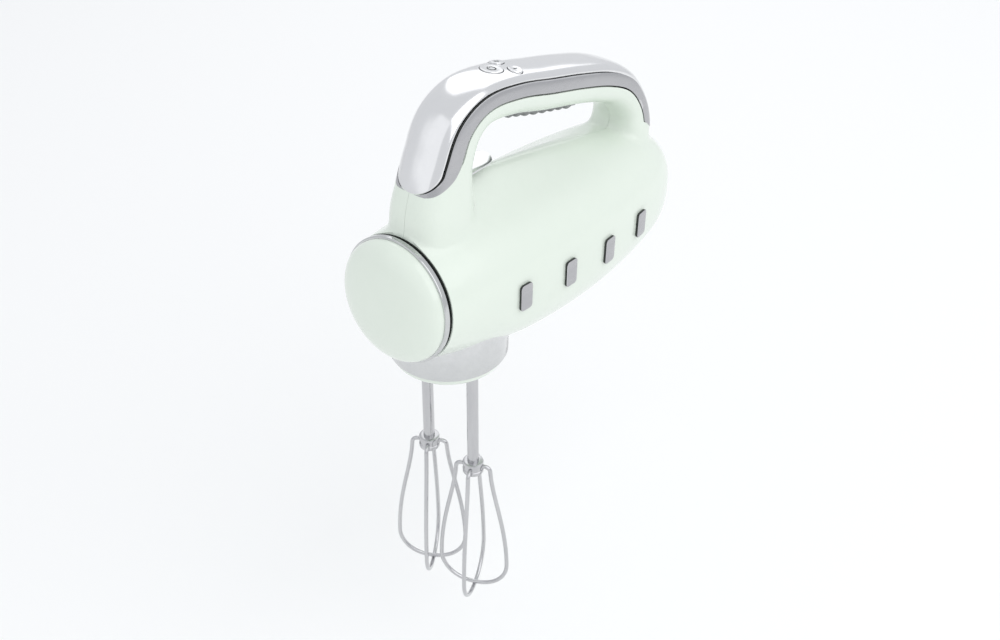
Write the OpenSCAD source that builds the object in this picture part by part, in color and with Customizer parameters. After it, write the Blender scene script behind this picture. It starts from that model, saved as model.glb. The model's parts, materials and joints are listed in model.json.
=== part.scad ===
/* [Casing] */
// Distance from the nose ring to the heel
body_l = 222; // [190:1:270]
// Greatest width of the casing
body_w = 88; // [80:1:108]
// Radius of the nose ring
ring_r = 37; // [34:0.5:42]
// How far the nose ring stands ahead of the beaters
ring_x = 42; // [40:1:50]
// How far the nose leans up, in degrees
nose_tilt = 4.6; // [0:0.2:8]
// Wall of the plastic casing
wall = 2.4; // [1.6:0.1:3.2]
// How far the nose cap bulges
dome_h = 15; // [8:1:22]
// Radius of the flat heel
heel_r = 19; // [15:1:21]

/* [Handle] */
// Width of the handle
grip_w = 33; // [29:0.5:38]
// Thickness of the handle at its middle
grip_t = 25; // [22:0.5:29]
// Height of the handle's middle above the neck
grip_z = 144; // [138:1:156]
// Length of the rubber pad under the handle
pad_l = 66; // [50:1:72]
// Ribs on the rubber pad
pad_ribs = 8; // [5:1:9]
// Thickness of the polished top plate
plate_t = 1.6; // [1.2:0.1:2]
// Radius of the power button
power_r = 6.4; // [5:0.1:7]
// Radius of the plus and minus buttons
step_r = 4.2; // [3.4:0.1:4.8]
// How far a button goes in
button_travel = 1; // [0.6:0.1:1.4]

/* [Beaters] */
// Distance between the two beaters
beater_gap = 36; // [34:1:40]
// Diameter of a beater's stem
stem_d = 7; // [6:0.1:8]
// Length of stem between the neck and the hub
stem_drop = 75; // [55:1:90]
// Radius of a beater's hub
hub_r = 6.4; // [5.6:0.1:7]
// Height of a beater's hub
hub_h = 9; // [7:0.5:12]
// Diameter of the beater wire
wire_d = 2.6; // [2:0.1:3]
// Widest radius of the wire loops
loop_r = 21.8; // [18:0.2:23]
// Height of a wire loop
loop_h = 106; // [90:1:120]
// Turn of the left beater at rest, in degrees
left_turn = 24; // [14:1:30]
// Turn of the right beater at rest, in degrees
right_turn = 32; // [22:1:38]

/* [Drive] */
// Teeth of a worm wheel
wheel_teeth = 26; // [20:1:34]
// Radius of the worm at mid thread
worm_r = 5; // [4.4:0.1:5.6]
// Height of the motor's axis above the neck
motor_z = 50; // [46:1:54]
// Radius of the motor can
can_r = 22; // [18:0.5:25]
// Length of the motor can
can_l = 50; // [40:1:56]
// Radius of the motor's shaft
shaft_r = 3; // [2.5:0.1:3.5]
// Radius of a spindle
spindle_r = 5.2; // [4.8:0.1:6]

/* [Collar] */
// Radius of the polished collar band
collar_r = 34.8; // [32:0.2:38]
// Height of neck that shows under the band
neck_h = 5; // [3:0.5:8]
// Height of the band, most of it inside the casing
collar_h = 24; // [20:0.5:26]

/* [Fits] */
// Radial clearance of a turning or sliding shaft
run_fit = 0.05; // [0.02:0.01:0.1]
// Gap between pieces that move apart
gap = 0.4; // [0.3:0.05:0.6]
// Gap between pieces that are screwed together
seat = 0.05; // [0.02:0.01:0.1]

/* [Hidden] */
$fn = 48;
grip_x = -72;
tail_x = ring_x - body_l;
pitch_r = beater_gap / 2 - worm_r;
pitch = 2 * PI * pitch_r / wheel_teeth;
side = beater_gap / 2;
ring_w = 3.2;
groove = 2.4;
seal_w = 2;
nose_x = ring_x - ring_w - groove;
casing_l = body_l - ring_w - groove;
mint = [0.80, 0.88, 0.81];
chrome = [0.83, 0.83, 0.84];
steel = [0.72, 0.72, 0.73];
dark = [0.13, 0.13, 0.14];
rubber = [0.50, 0.51, 0.52];

// Casing outline: cubic curves from the nose ring to the heel
mid_z = motor_z + 8.8;
half_w = [ring_r, ring_r + 9, body_w / 2 + 6, heel_r + 14];
top_z = [mid_z + ring_r - 0.2, mid_z + 38.7, mid_z + 34.2, mid_z + 20];
low_z = [mid_z - ring_r + 0.2, mid_z - 58.3, mid_z - 62, mid_z - 42];

function bez(p, u) =
    p[0] * (1 - u) ^ 3 + 3 * p[1] * u * (1 - u) ^ 2 + 3 * p[2] * u ^ 2 * (1 - u) + p[3] * u ^ 3;
function signed_pow(v, e) = sign(v) * abs(v) ^ e;

// Round-over of the tail, which stops at the flat heel
tail_u = 0.86;
heel_keep = (heel_r + 1.5 * wall) / (heel_r + 14);
function tail_cap(u) =
    u < tail_u ? 1 : heel_keep + (1 - heel_keep) * sqrt(1 - ((u - tail_u) / (1 - tail_u)) ^ 2);
function lean(u, z) = -tan(nose_tilt) * z * max(0, 1 - u / 0.35);

// Raised spine along the top, which joins the handle's two feet
spine_h = 15;
spine_w = 12;
function spine_rise(u) =
    let (x = nose_x - casing_l * u)
    spine_h * max(0, min(1, (x + 138) / 110)) * max(0, min(1, (24 - x) / 30));
function casing_ring(u, inset, count) =
    let (zt = bez(top_z, u), zb = bez(low_z, u), zm = (zt + zb) / 2)
    let (a = bez(half_w, u) * tail_cap(u) - inset, h = (zt - zb) / 2 * tail_cap(u) - inset)
    [for (i = [0:count - 1])
        let (t = 360 * (i + 0.5) / count, fuller = 0.9 * min(1, u / 0.3))
        let (n = 2 + (sin(t) < 0 ? fuller : 0.15 * fuller))
        let (y = a * signed_pow(cos(t), 2 / n), z = h * signed_pow(sin(t), 2 / n))
        let (bump = sin(t) < 0 ? 0 : spine_rise(u) * exp(-(y / spine_w) ^ 2))
        [nose_x - casing_l * u + lean(u, z), y, zm + z + bump]];

module loft(rings) {
    n = len(rings[0]);
    m = len(rings);
    polyhedron(
        points = [for (r = rings) each r],
        faces = [
            [for (j = [n - 1:-1:0]) j],
            for (i = [0:m - 2])
                for (j = [0:n - 1])
                    let (a = i * n + j, b = i * n + (j + 1) % n)
                    each [[a, b + n, a + n], [a, b, b + n]],
            [for (j = [0:n - 1]) (m - 1) * n + j]
        ],
        convexity = 8);
}

casing_steps = 20;
module casing_solid() {
    loft([for (i = [0:casing_steps])
        let (s = i / casing_steps)
        casing_ring(1 - (1 - s) ^ 1.6, 0, 48)]);
}
module casing_hollow(inset) {
    steps = 12;
    last = 1 - inset / casing_l;
    loft([for (i = [0:steps])
        let (s = i / steps)
        casing_ring(0.012 + (last - 0.012) * (1 - (1 - s) ^ 1.6), inset, 28)]);
}

// Handle: centre line in side view, half thickness and half width at each station
half_t = grip_t / 2;
half_g = grip_w / 2;
stations = [
    [12, motor_z + 26, 20, 21],
    [11, motor_z + 50, 21.5, 19.5],
    [8.5, motor_z + 67, 19.5, 17.4],
    [5, motor_z + 81, 16.6, half_g + 0.3],
    [-3.5, grip_z + 3.2, half_t + 3, half_g],
    [-20, grip_z + 11, half_t + 0.4, half_g],
    [-45, grip_z + 8, half_t, half_g],
    [grip_x, grip_z, half_t + 0.5, half_g],
    [-100, grip_z - 8, half_t + 0.4, half_g],
    [-126, grip_z - 17, half_t + 0.2, half_g],
    [-146, grip_z - 28, half_t - 0.8, half_g],
    [-158.5, motor_z + 50, half_t - 1.4, half_g + 0.2],
    [-161, motor_z + 34, half_t + 0.2, half_g + 2],
    [-156, motor_z + 20, half_t + 1, half_g + 4]
];
last_station = len(stations) - 1;
function station(i) = stations[max(0, min(last_station, i))];
function along(t) =
    let (i = min(floor(t), last_station - 1), f = t - i)
    let (a = station(i - 1), b = station(i), c = station(i + 1), d = station(i + 2))
    b + f * (0.5 * (c - a) + f * (a - 2.5 * b + 2 * c - 0.5 * d + f * (1.5 * (b - c) + 0.5 * (d - a))));
function heading(t) =
    let (a = along(max(0, t - 0.05)), b = along(min(last_station, t + 0.05)))
    let (v = [b[0] - a[0], b[1] - a[1]])
    v / norm(v);

// Point of the handle: across is along Y, up is towards its outer side
function handle_point(t, across, up) =
    let (s = along(t), d = heading(t))
    [s[0] - d[1] * -up, across, s[1] - d[0] * up];
handle_n = 3;
function outer_up(t, across, inset = 0) =
    let (s = along(t), w = s[3] - inset, q = min(1, abs(across) / w))
    (s[2] - inset) * (1 - q ^ handle_n) ^ (1 / handle_n);
function handle_ring(t, inset, count) =
    let (s = along(t), a = s[3] - inset, h = s[2] - inset)
    [for (i = [0:count - 1])
        let (w = 360 * (i + 0.5) / count)
        handle_point(t, a * signed_pow(cos(w), 2 / handle_n), h * signed_pow(sin(w), 2 / handle_n))];

// Strip of the handle's outer side between two depths below its skin
plate_first = 2.0;
plate_last = 12.1;
plate_half = half_g - 2.2;
plate_gap = 0.7;
seal_t = 0.6;
function taper(t, first, last, reach) =
    let (a = min(1, (t - first) / reach), b = min(1, (last - t) / (reach * 0.6)))
    sqrt(max(0.02, (1 - (1 - a) ^ 2) * (1 - (1 - b) ^ 2)));
function plate_limit(t) = plate_half * taper(t, plate_first, plate_last, 0.8);
strip_steps = 26;
function strip_t(i, first, last) = first + (last - first) * (0.5 - 0.5 * cos(180 * i / strip_steps));
function strip_side(t, extra, depth) =
    let (limit = plate_limit(t), rim = limit + extra)
    concat(
        extra > 0 ? [handle_point(t, rim, outer_up(t, rim) - depth)] : [],
        [for (i = [0:6]) let (y = limit * (1 - i / 3)) handle_point(t, y, outer_up(t, y) - depth)],
        extra > 0 ? [handle_point(t, -rim, outer_up(t, -rim) - depth)] : []);
function back_to_front(p) = [for (i = [len(p) - 1:-1:0]) p[i]];
module strip(extra, top, bottom, over = 0) {
    loft([for (i = [0:strip_steps])
        let (t = strip_t(i, plate_first - over, plate_last + over))
        concat(strip_side(t, extra, top), back_to_front(strip_side(t, extra, bottom)))]);
}

// Polished trim: a saddle with a tray for the top plate and a band down each side
trim_drop = 9.5;
trim_t = 1.2;
tray = plate_t + seal_t + 7 * seat;
function band_top(t) =
    acos(min(1, ((plate_limit(t) + plate_gap) / along(t)[3]) ^ (handle_n / 2)));
function band_foot(t) =
    let (edge = outer_up(t, plate_limit(t) + plate_gap), k = taper(t, plate_first, plate_last, 1.5))
    asin(max(0.02, (edge - k * trim_drop) / along(t)[2]) ^ (handle_n / 2));
function skin(t, w, inset) =
    let (s = along(t))
    handle_point(t, (s[3] - inset) * signed_pow(cos(w), 2 / handle_n),
        (s[2] - inset) * signed_pow(sin(w), 2 / handle_n));
module saddle() {
    difference() {
        loft([for (i = [0:strip_steps])
            let (t = strip_t(i, plate_first, plate_last), w0 = band_foot(t))
            [for (k = [0:14]) skin(t, w0 + (180 - 2 * w0) * k / 14, 0)]]);
        handle_hollow(tray + trim_t);
        strip(plate_gap, -2, tray, 0.01);
    }
}
module saddle_room() {
    loft([for (i = [0:strip_steps])
        let (t = strip_t(i, plate_first, plate_last), rim = plate_limit(t) + plate_gap + seat)
        let (foot = along(t)[2] * signed_pow(sin(band_foot(t)), 2 / handle_n) - gap)
        let (w0 = asin(signed_pow(foot / (along(t)[2] + 2), handle_n / 2)))
        let (floor_up = min(foot, outer_up(t, rim) - tray - 2 * gap))
        concat([for (k = [0:10]) skin(t, w0 + (180 - 2 * w0) * k / 10, -2)],
            [handle_point(t, -rim, floor_up), handle_point(t, rim, floor_up)])]);
}

module to_grip() {
    translate([-grip_x, 0, -grip_z])
        children();
}
module along_nose() {
    translate([nose_x, 0, mid_z])
        rotate([0, 90 - nose_tilt, 0])
            children();
}
module along_x(x, z) {
    translate([x, 0, z])
        rotate([0, 90, 0])
            children();
}
module tube(r_out, r_in, h) {
    difference() {
        cylinder(r = r_out, h = h);
        translate([0, 0, -1])
            cylinder(r = r_in, h = h + 2);
    }
}

function step_t(i, first, last, steps) = first + (last - first) * i / steps;
handle_steps = 32;
module handle_solid() {
    loft([for (i = [0:handle_steps])
        handle_ring(step_t(i, 0, last_station, handle_steps), 0, 28)]);
}
module handle_hollow(inset) {
    steps = 18;
    loft([for (i = [0:steps])
        handle_ring(step_t(i, 0, last_station, steps), inset, 12)]);
}

lever_x = 12;
lever_z = motor_z + 67;
lever_reach = 46;
lever_w = 18;
screw_spots = [[22, 34], [-104, 26], [-104, 74], [-150, 60], [10, 94]];
board_z = motor_z - 12;

// Casing with its hollow, still in one piece
module casing() {
    difference() {
        union() {
            casing_solid();
            handle_solid();
        }
        casing_hollow(wall);
        handle_hollow(wall);
        casing_cuts();
    }
}

// Openings of the casing, each sized from the piece that sits in it
module casing_cuts() {
    saddle_room();
    along_nose()
        translate([0, 0, -seal_w - 2])
            cylinder(r = ring_r - wall, h = 20, $fn = 64);
    translate([0, 0, neck_h - 20])
        cylinder(r = collar_r + seat, h = 20 + collar_h, $fn = 64);
    along_x(tail_x - 5, mid_z - 12)
        cylinder(r = heel_r + seat, h = 5 + wall + 1, $fn = 64);
    translate([gland_x, 0, -20])
        cylinder(r = gland_r + seat, h = 50, $fn = 32);
    translate([lever_x - 38, -lever_w / 2 - gap, lever_z - 7])
        cube([38, lever_w + 2 * gap, 9.5]);
}

// Standing bosses that take the casing screws
boss_r = 3.6;
pilot_r = 1.3;
module bosses(way) {
    intersection() {
        casing_fill();
        for (p = screw_spots)
            translate([p[0], 0, p[1]])
                rotate([way * -90, 0, 0])
                    difference() {
                        cylinder(r = boss_r, h = body_w, $fn = 20);
                        translate([0, 0, -1])
                            cylinder(r = pilot_r + 0.35, h = boss_reach + 2, $fn = 20);
                    }
    }
}
boss_reach = 9;
module casing_fill() {
    union() {
        casing_hollow(wall / 2);
        handle_hollow(wall / 2);
    }
}

module half_space(way) {
    reach = 2 * body_l;
    translate([-reach, way > 0 ? 0 : -reach, -reach / 2])
        cube([2 * reach, reach, 2 * reach]);
}

module left_shell() {
    color(mint)
        to_grip()
            union() {
                intersection() {
                    casing();
                    half_space(1);
                }
                bosses(1);
            }
}

module right_shell() {
    color(mint)
        to_grip()
            union() {
                intersection() {
                    casing();
                    half_space(-1);
                }
                bosses(-1);
            }
}

module nose_cap() {
    r = ring_r - 1.3;
    color(mint)
        to_grip()
            along_nose()
                translate([0, 0, groove])
                    rotate_extrude($fn = 96)
                        polygon(concat(
                            [for (i = [0:12])
                                [r * sin(7.5 * i) ^ 0.85, ring_w + (dome_h - ring_w) * cos(7.5 * i) ^ 0.9]],
                            [[r, 0], [r - wall, 0], [r - wall, ring_w]],
                            [for (i = [11:-1:0])
                                [(r - wall) * sin(7.5 * i) ^ 0.85,
                                    ring_w + (dome_h - ring_w - wall) * cos(7.5 * i) ^ 0.9]]));
}

module nose_ring() {
    color(chrome)
        to_grip()
            along_nose()
                translate([0, 0, groove])
                    difference() {
                        union() {
                            cylinder(r = ring_r, h = ring_w - 1);
                            translate([0, 0, ring_w - 1])
                                cylinder(r1 = ring_r, r2 = ring_r - 0.8, h = 1);
                        }
                        translate([0, 0, -1])
                            cylinder(r = ring_r - 1.3 + seat, h = ring_w + 2);
                    }
}

module nose_seal() {
    color(dark)
        to_grip()
            along_nose()
                translate([0, 0, -seal_w])
                    tube(ring_r - wall - seat, ring_r - wall - 3, seal_w + groove - seat);
}

stem_hole_r = stem_d / 2 + 0.6;
module neck() {
    color(mint)
        to_grip()
            difference() {
                union() {
                    cylinder(r1 = collar_r - 2.6, r2 = collar_r - 1.2, h = 2);
                    translate([0, 0, 2])
                        cylinder(r = collar_r - 1.2, h = neck_h + 5);
                }
                translate([0, 0, 3])
                    cylinder(r = collar_r - 1.2 - wall, h = 20);
                for (s = [-1, 1])
                    translate([0, s * side, -1])
                        cylinder(r = stem_hole_r, h = 10);
            }
}

module collar_ring() {
    color(chrome)
        to_grip()
            translate([0, 0, neck_h])
                tube(collar_r, collar_r - 1.2 + seat, collar_h - seat);
}

module handle_trim() {
    color(chrome)
        to_grip()
            difference() {
                saddle();
                button_holes(1.4, 20);
            }
}

module handle_seal() {
    color(dark)
        to_grip()
            difference() {
                strip(plate_gap - 2 * seat, plate_t + 4 * seat, plate_t + 4 * seat + seal_t);
                button_holes(1.4, 20);
            }
}

module handle_top() {
    color(chrome)
        to_grip()
            difference() {
                strip(0, 0, plate_t);
                button_holes(gap, 20);
            }
}

// Buttons stand square to the plate at their own place along the handle
side_step = 6.6;
buttons = [
    [5.66, 0, power_r, "power"],
    [6.08, side_step, step_r, "minus"],
    [6.08, -side_step, step_r, "plus"]
];
module at_button(b) {
    d = heading(b[0]);
    translate(handle_point(b[0], b[1], outer_up(b[0], 0)))
        rotate([0, atan2(d[1], -d[0]), 0])
            children();
}
module button_holes(room, depth) {
    for (b = buttons)
        at_button(b)
            translate([0, 0, -depth])
                cylinder(r = b[2] + room, h = depth + 10);
}
button_top = 0.5;
button_h = 6;
module button(b) {
    at_button(b)
        translate([0, 0, button_top - button_h]) {
            cylinder(r = b[2], h = button_h - 0.4);
            translate([0, 0, button_h - 0.4])
                cylinder(r1 = b[2], r2 = b[2] - 0.4, h = 0.4);
        }
}
module power_button() {
    color(chrome)
        to_grip()
            button(buttons[0]);
}
module minus_button() {
    color(chrome)
        to_grip()
            button(buttons[1]);
}
module plus_button() {
    color(chrome)
        to_grip()
            button(buttons[2]);
}

// Board and switches under the buttons
switch_h = 2.4;
module push_switches() {
    color(dark)
        to_grip()
            for (b = buttons)
                at_button(b)
                    translate([-1.6, -1.6, button_top - button_h - button_travel - gap - switch_h])
                        cube([3.2, 3.2, switch_h]);
}
module button_board() {
    color([0.1, 0.35, 0.2])
        to_grip()
            at_button([5.9, 0, 0])
                translate([-15, -10, button_top - button_h - button_travel - gap - switch_h - 1.9])
                    cube([30, 20, 1.2]);
}

// Rubber pad: a strip under the handle, with round ribs
pad_w = 17;
pad_base = 1.6;
rib_r = 1.8;
module grip_pad() {
    first = 7.15 - pad_l / 56;
    last = 7.15 + pad_l / 56;
    color(rubber)
        to_grip()
            union() {
                loft([for (i = [0:16]) pad_ring(step_t(i, first, last, 16), -4 * seat, pad_base)]);
                for (i = [0:pad_ribs - 1])
                    pad_rib(step_t(i + 0.5, first, last, pad_ribs));
            }
}
function pad_ring(t, top, bottom) = [
    for (p = [[-0.5, top], [-0.5, -bottom * 0.4], [-0.25, -bottom], [0.25, -bottom], [0.5, -bottom * 0.4],
        [0.5, top], [0.35, top], [0.15, top], [-0.15, top], [-0.35, top]])
        handle_point(t, p[0] * pad_w, -outer_up(t, p[0] * pad_w) + p[1])
];
module pad_rib(t) {
    translate(handle_point(t, 0, -outer_up(t, 0) - rib_r - 4 * seat))
        rotate([90, 0, 0])
            cylinder(r = rib_r, h = pad_w * 0.72, center = true, $fn = 24);
}

// Four plain bars on each flank where a maker would put a name
badge_w = 9;
badge_h = 17;
badge_t = 1.6;
badge_spots = [[-17, motor_z], [-55, motor_z - 3], [-92, motor_z - 6.5], [-127, motor_z - 6.5]];
module flank_badges() {
    color(chrome)
        to_grip()
            for (way = [-1, 1])
                for (p = badge_spots)
                    badge((nose_x - p[0]) / casing_l, p[1], way);
}
function flank_y(u, z) =
    let (zt = bez(top_z, u), zb = bez(low_z, u), zm = (zt + zb) / 2, h = (zt - zb) / 2 * tail_cap(u))
    let (n = 2 + (z < zm ? 0.9 : 0.135) * min(1, u / 0.3))
    bez(half_w, u) * tail_cap(u) * (1 - min(0.99, abs(z - zm) / h) ^ n) ^ (1 / n);
module badge(u, z, way) {
    x = nose_x - casing_l * u;
    y = flank_y(u, z);
    flare = atan2(flank_y(u + 0.02, z) - flank_y(u - 0.02, z), casing_l * 0.04);
    lean_in = atan2(flank_y(u, z - 5) - flank_y(u, z + 5), 10);
    translate([x, way * y, z])
        rotate([way * lean_in, 0, -way * flare])
            translate([0, way * 0.9, 0])
                rotate([90, 0, 0])
                    linear_extrude(badge_t, center = true)
                        rounded_bar(badge_w, badge_h, 2);
}
module rounded_bar(w, h, r) {
    square([w - 2 * r, h], center = true);
    square([w, h - 2 * r], center = true);
    for (sx = [-1, 1])
        for (sy = [-1, 1])
            translate([sx * (w / 2 - r), sy * (h / 2 - r)])
                circle(r = r, $fn = 24);
}

module heel_cover() {
    color(mint)
        to_grip()
            along_x(tail_x, mid_z - 12)
                difference() {
                    cylinder(r = heel_r, h = 3);
                    translate([0, 0, -1])
                        cylinder(r = heel_r - 2.5, h = 2);
                }
}
module heel_pad() {
    color(rubber)
        to_grip()
            along_x(tail_x - 1, mid_z - 12)
                cylinder(r = heel_r - 2.5 - seat, h = 2 - seat);
}

gland_x = -138;
gland_r = 7;
module cord_gland() {
    color(dark)
        to_grip()
            translate([gland_x, 0, 0])
                difference() {
                    union() {
                        cylinder(r = gland_r, h = 14);
                        cylinder(r1 = gland_r - 1, r2 = gland_r, h = 1);
                    }
                    translate([0, 0, -1])
                        cylinder(r = 3.6, h = 20);
                }
}

module control_board() {
    color([0.1, 0.35, 0.2])
        to_grip()
            translate([-135, -22, board_z - 18])
                cube([34, 44, 1.6]);
}

module shell_screws() {
    color(steel)
        to_grip()
            for (p = screw_spots)
                translate([p[0], -boss_reach + 1, p[1]])
                    rotate([-90, 0, 0]) {
                        cylinder(r = pilot_r, h = 2 * boss_reach - 2, $fn = 24);
                        cylinder(r = pilot_r + 0.25, h = 2, $fn = 24);
                    }
}

// Gearbox: a cup that holds the lower bushes and the worm's end, and a cover
box_x = 17;
box_low = neck_h + 7 + seat;
box_r = collar_r - 1.2 - gap;
box_top = motor_z + 12;
bush_r = spindle_r + 2.6;
bush_h = 5;
module block(low, high, extra = 0) {
    intersection() {
        translate([-box_x - extra, -box_r, low])
            cube([2 * (box_x + extra), 2 * box_r, high - low]);
        translate([0, 0, low])
            cylinder(r = box_r + extra * 0.6, h = high - low);
    }
}
module gearbox_base() {
    color([0.85, 0.85, 0.82])
        to_grip()
            difference() {
                intersection() {
                    block(box_low, box_top);
                    union() {
                        casing_hollow(wall + gap);
                        cylinder(r = box_r, h = neck_h + collar_h - gap);
                    }
                }
                block(box_low + bush_h, box_top + 1, -2);
                for (s = [-1, 1])
                    translate([0, s * side, box_low - 1])
                        cylinder(r = bush_r + seat, h = bush_h + 2);
                along_x(-box_x - 1, motor_z)
                    cylinder(r = shaft_r + gap, h = box_x);
                along_x(box_x - 2 - 1, motor_z)
                    cylinder(r = shaft_r + 2.5 + seat, h = 4);
            }
}
module gearbox_cover() {
    color([0.85, 0.85, 0.82])
        to_grip()
            difference() {
                block(box_top + seat, box_top + 4);
                for (s = [-1, 1])
                    translate([0, s * side, box_top - 1])
                        cylinder(r = bush_r + seat, h = 6);
                for (sx = [-1, 1])
                    for (sy = [-1, 1])
                        translate([sx * (box_x - 4), sy * 4, box_top - 1])
                            cylinder(r = 1.6, h = 6);
            }
}
module gearbox_screws() {
    color(steel)
        to_grip()
            for (sx = [-1, 1])
                for (sy = [-1, 1])
                    translate([sx * (box_x - 4), sy * 4, box_top + 4 + seat]) {
                        cylinder(r = 3, h = 1.8);
                        translate([0, 0, -4])
                            cylinder(r = 1.5, h = 4);
                    }
}
module spindle_bushes() {
    color([0.72, 0.55, 0.3])
        to_grip()
            for (s = [-1, 1])
                translate([0, s * side, 0]) {
                    translate([0, 0, box_low])
                        tube(bush_r, spindle_r + run_fit, bush_h - 0.5);
                    translate([0, 0, box_top + seat])
                        tube(bush_r, spindle_r + run_fit, 4 - seat);
                }
}
module worm_bearing() {
    color([0.72, 0.55, 0.3])
        to_grip()
            along_x(box_x - 2, motor_z)
                tube(shaft_r + 2.5, shaft_r + run_fit, 2);
}

can_front = -40;
can_back = can_front - can_l;
module motor_can() {
    color(steel)
        to_grip()
            along_x(can_back, motor_z)
                difference() {
                    cylinder(r = can_r, h = can_l);
                    translate([0, 0, 2])
                        cylinder(r = can_r - 1.6, h = can_l - 3.6);
                    translate([0, 0, can_l - 3])
                        cylinder(r = shaft_r + 1.5, h = 4);
                    translate([0, 0, -1])
                        cylinder(r = shaft_r + 3 + seat, h = 4);
                }
}
module motor_stator() {
    color([0.35, 0.35, 0.36])
        to_grip()
            along_x(can_back + 16, motor_z)
                tube(can_r - 1.6 - seat, can_r - 6, 26);
}
module motor_mounts() {
    color(rubber)
        to_grip()
            for (x = [can_back + 5, can_front - 9])
                along_x(x, motor_z)
                    tube(can_r + 3, can_r + seat, 5);
}
module rear_bearing() {
    color([0.72, 0.55, 0.3])
        to_grip()
            along_x(can_back - 2, motor_z)
                tube(shaft_r + 3, shaft_r + run_fit, 4);
}
brush_x = can_back + 8;
module brush_holders() {
    color([0.45, 0.28, 0.14])
        to_grip()
            for (s = [-1, 1])
                translate([brush_x - 4, s * 14 - 5, motor_z - 3.5])
                    difference() {
                        cube([8, 10, 7]);
                        translate([2, -1, 2])
                            cube([4, 12, 3]);
                    }
}
module brushes() {
    color(dark)
        to_grip()
            for (s = [-1, 1])
                translate([brush_x - 2 + seat, s * 12 - 4.4, motor_z - 1.5 + seat])
                    cube([4 - 2 * seat, 8.8, 3 - 2 * seat]);
}

shaft_back = can_back - 4;
module rotor_shaft() {
    color(steel)
        to_grip()
            along_x(shaft_back, motor_z)
                cylinder(r = shaft_r, h = box_x - shaft_back - 0.5);
}
arm_r = can_r - 7;
module armature() {
    color([0.55, 0.33, 0.16])
        to_grip()
            along_x(can_back + 17, motor_z)
                difference() {
                    cylinder(r = arm_r, h = 24);
                    for (i = [0:11])
                        rotate(30 * i)
                            translate([arm_r - 3, -0.9, -1])
                                cube([4, 1.8, 26]);
                    translate([0, 0, -1])
                        cylinder(r = shaft_r, h = 26);
                }
}
comm_r = 12 - 4.4 - gap;
module commutator() {
    color([0.75, 0.45, 0.22])
        to_grip()
            along_x(brush_x - 5, motor_z)
                tube(comm_r, shaft_r, 12);
}
module fan() {
    color([0.9, 0.9, 0.88])
        to_grip()
            along_x(can_front + 4, motor_z)
                difference() {
                    union() {
                        cylinder(r = 6, h = 8);
                        cylinder(r = can_r - 2, h = 1.5);
                        for (i = [0:8])
                            rotate([0, 0, 40 * i])
                                translate([5, -0.7, 0])
                                    cube([can_r - 7.5, 1.4, 7]);
                    }
                    translate([0, 0, -1])
                        cylinder(r = shaft_r, h = 10);
                }
}

// Worm: one trapezoid thread, cut as a twisted profile round the shaft
thread = pitch / PI;
thread_w = pitch * 0.32;
worm_tip = worm_r + 0.8 * thread;
worm_root = worm_r - 0.9 * thread;
tip_span = 180 * (thread_w - 2 * 0.8 * thread * tan(20)) / pitch;
root_span = 180 * (thread_w + 2 * 0.9 * thread * tan(20)) / pitch;
worm_turns = 4;
module worm_profile() {
    polygon([for (w = [90 - root_span:root_span / 5:90 - tip_span])
            let (f = (w - 90 + root_span) / (root_span - tip_span))
            (worm_root + (worm_tip - worm_root) * f) * [cos(w), sin(w)],
        for (w = [-1:0.5:1]) worm_tip * [cos(90 + w * tip_span), sin(90 + w * tip_span)],
        for (w = [90 + tip_span + 4:root_span / 5:90 + root_span])
            let (f = (90 + root_span - w) / (root_span - tip_span))
            (worm_root + (worm_tip - worm_root) * f) * [cos(w), sin(w)],
        for (w = [90 + root_span:(360 - 2 * root_span) / 8:450 - root_span - 1])
            worm_root * [cos(w), sin(w)]]);
}
module worm() {
    color(steel)
        to_grip()
            along_x(0, motor_z)
                linear_extrude(worm_turns * pitch, center = true, twist = -360 * worm_turns, slices = 34, $fn = 13)
                    difference() {
                        worm_profile();
                        circle(r = shaft_r + 0.02, $fn = 8);
                    }
}

wheel_tip = beater_gap / 2 - worm_root - 0.25;
wheel_root = beater_gap / 2 - worm_tip - 0.3;
wheel_h = 7;
tooth_w = pitch * 0.32;
module wheel_profile(offset_turn) {
    rotate(offset_turn)
        for (i = [0:wheel_teeth - 1])
            rotate(360 * i / wheel_teeth)
                polygon([
                    [wheel_root - 1, -tooth_w * 0.8],
                    [wheel_root, -tooth_w * 0.78],
                    [pitch_r, -tooth_w / 2],
                    [wheel_tip, -tooth_w * 0.28],
                    [wheel_tip, tooth_w * 0.28],
                    [pitch_r, tooth_w / 2],
                    [wheel_root, tooth_w * 0.78],
                    [wheel_root - 1, tooth_w * 0.8]]);
}
module worm_wheel(offset_turn) {
    difference() {
        union() {
            cylinder(r = wheel_root, h = wheel_h, center = true);
            linear_extrude(wheel_h, center = true)
                wheel_profile(offset_turn);
            cylinder(r = spindle_r + 3, h = wheel_h + 4, center = true);
        }
        cylinder(r = spindle_r, h = 20, center = true);
    }
}
spindle_low = neck_h - 1;
spindle_top = box_top + 6;
module spindle() {
    difference() {
        translate([0, 0, spindle_low])
            cylinder(r = spindle_r, h = spindle_top - spindle_low);
        translate([0, 0, spindle_low - 1])
            cylinder(r = stem_d / 2 + run_fit, h = 100);
    }
}
module left_spindle() {
    color(steel)
        to_grip()
            translate([0, side, 0])
                spindle();
}
module right_spindle() {
    color(steel)
        to_grip()
            translate([0, -side, 0])
                spindle();
}
half_tooth = 180 / wheel_teeth;
module left_worm_wheel() {
    color([0.93, 0.92, 0.86])
        to_grip()
            translate([0, side, motor_z])
                worm_wheel(-90 + half_tooth);
}
module right_worm_wheel() {
    color([0.93, 0.92, 0.86])
        to_grip()
            translate([0, -side, motor_z])
                worm_wheel(90);
}

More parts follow.
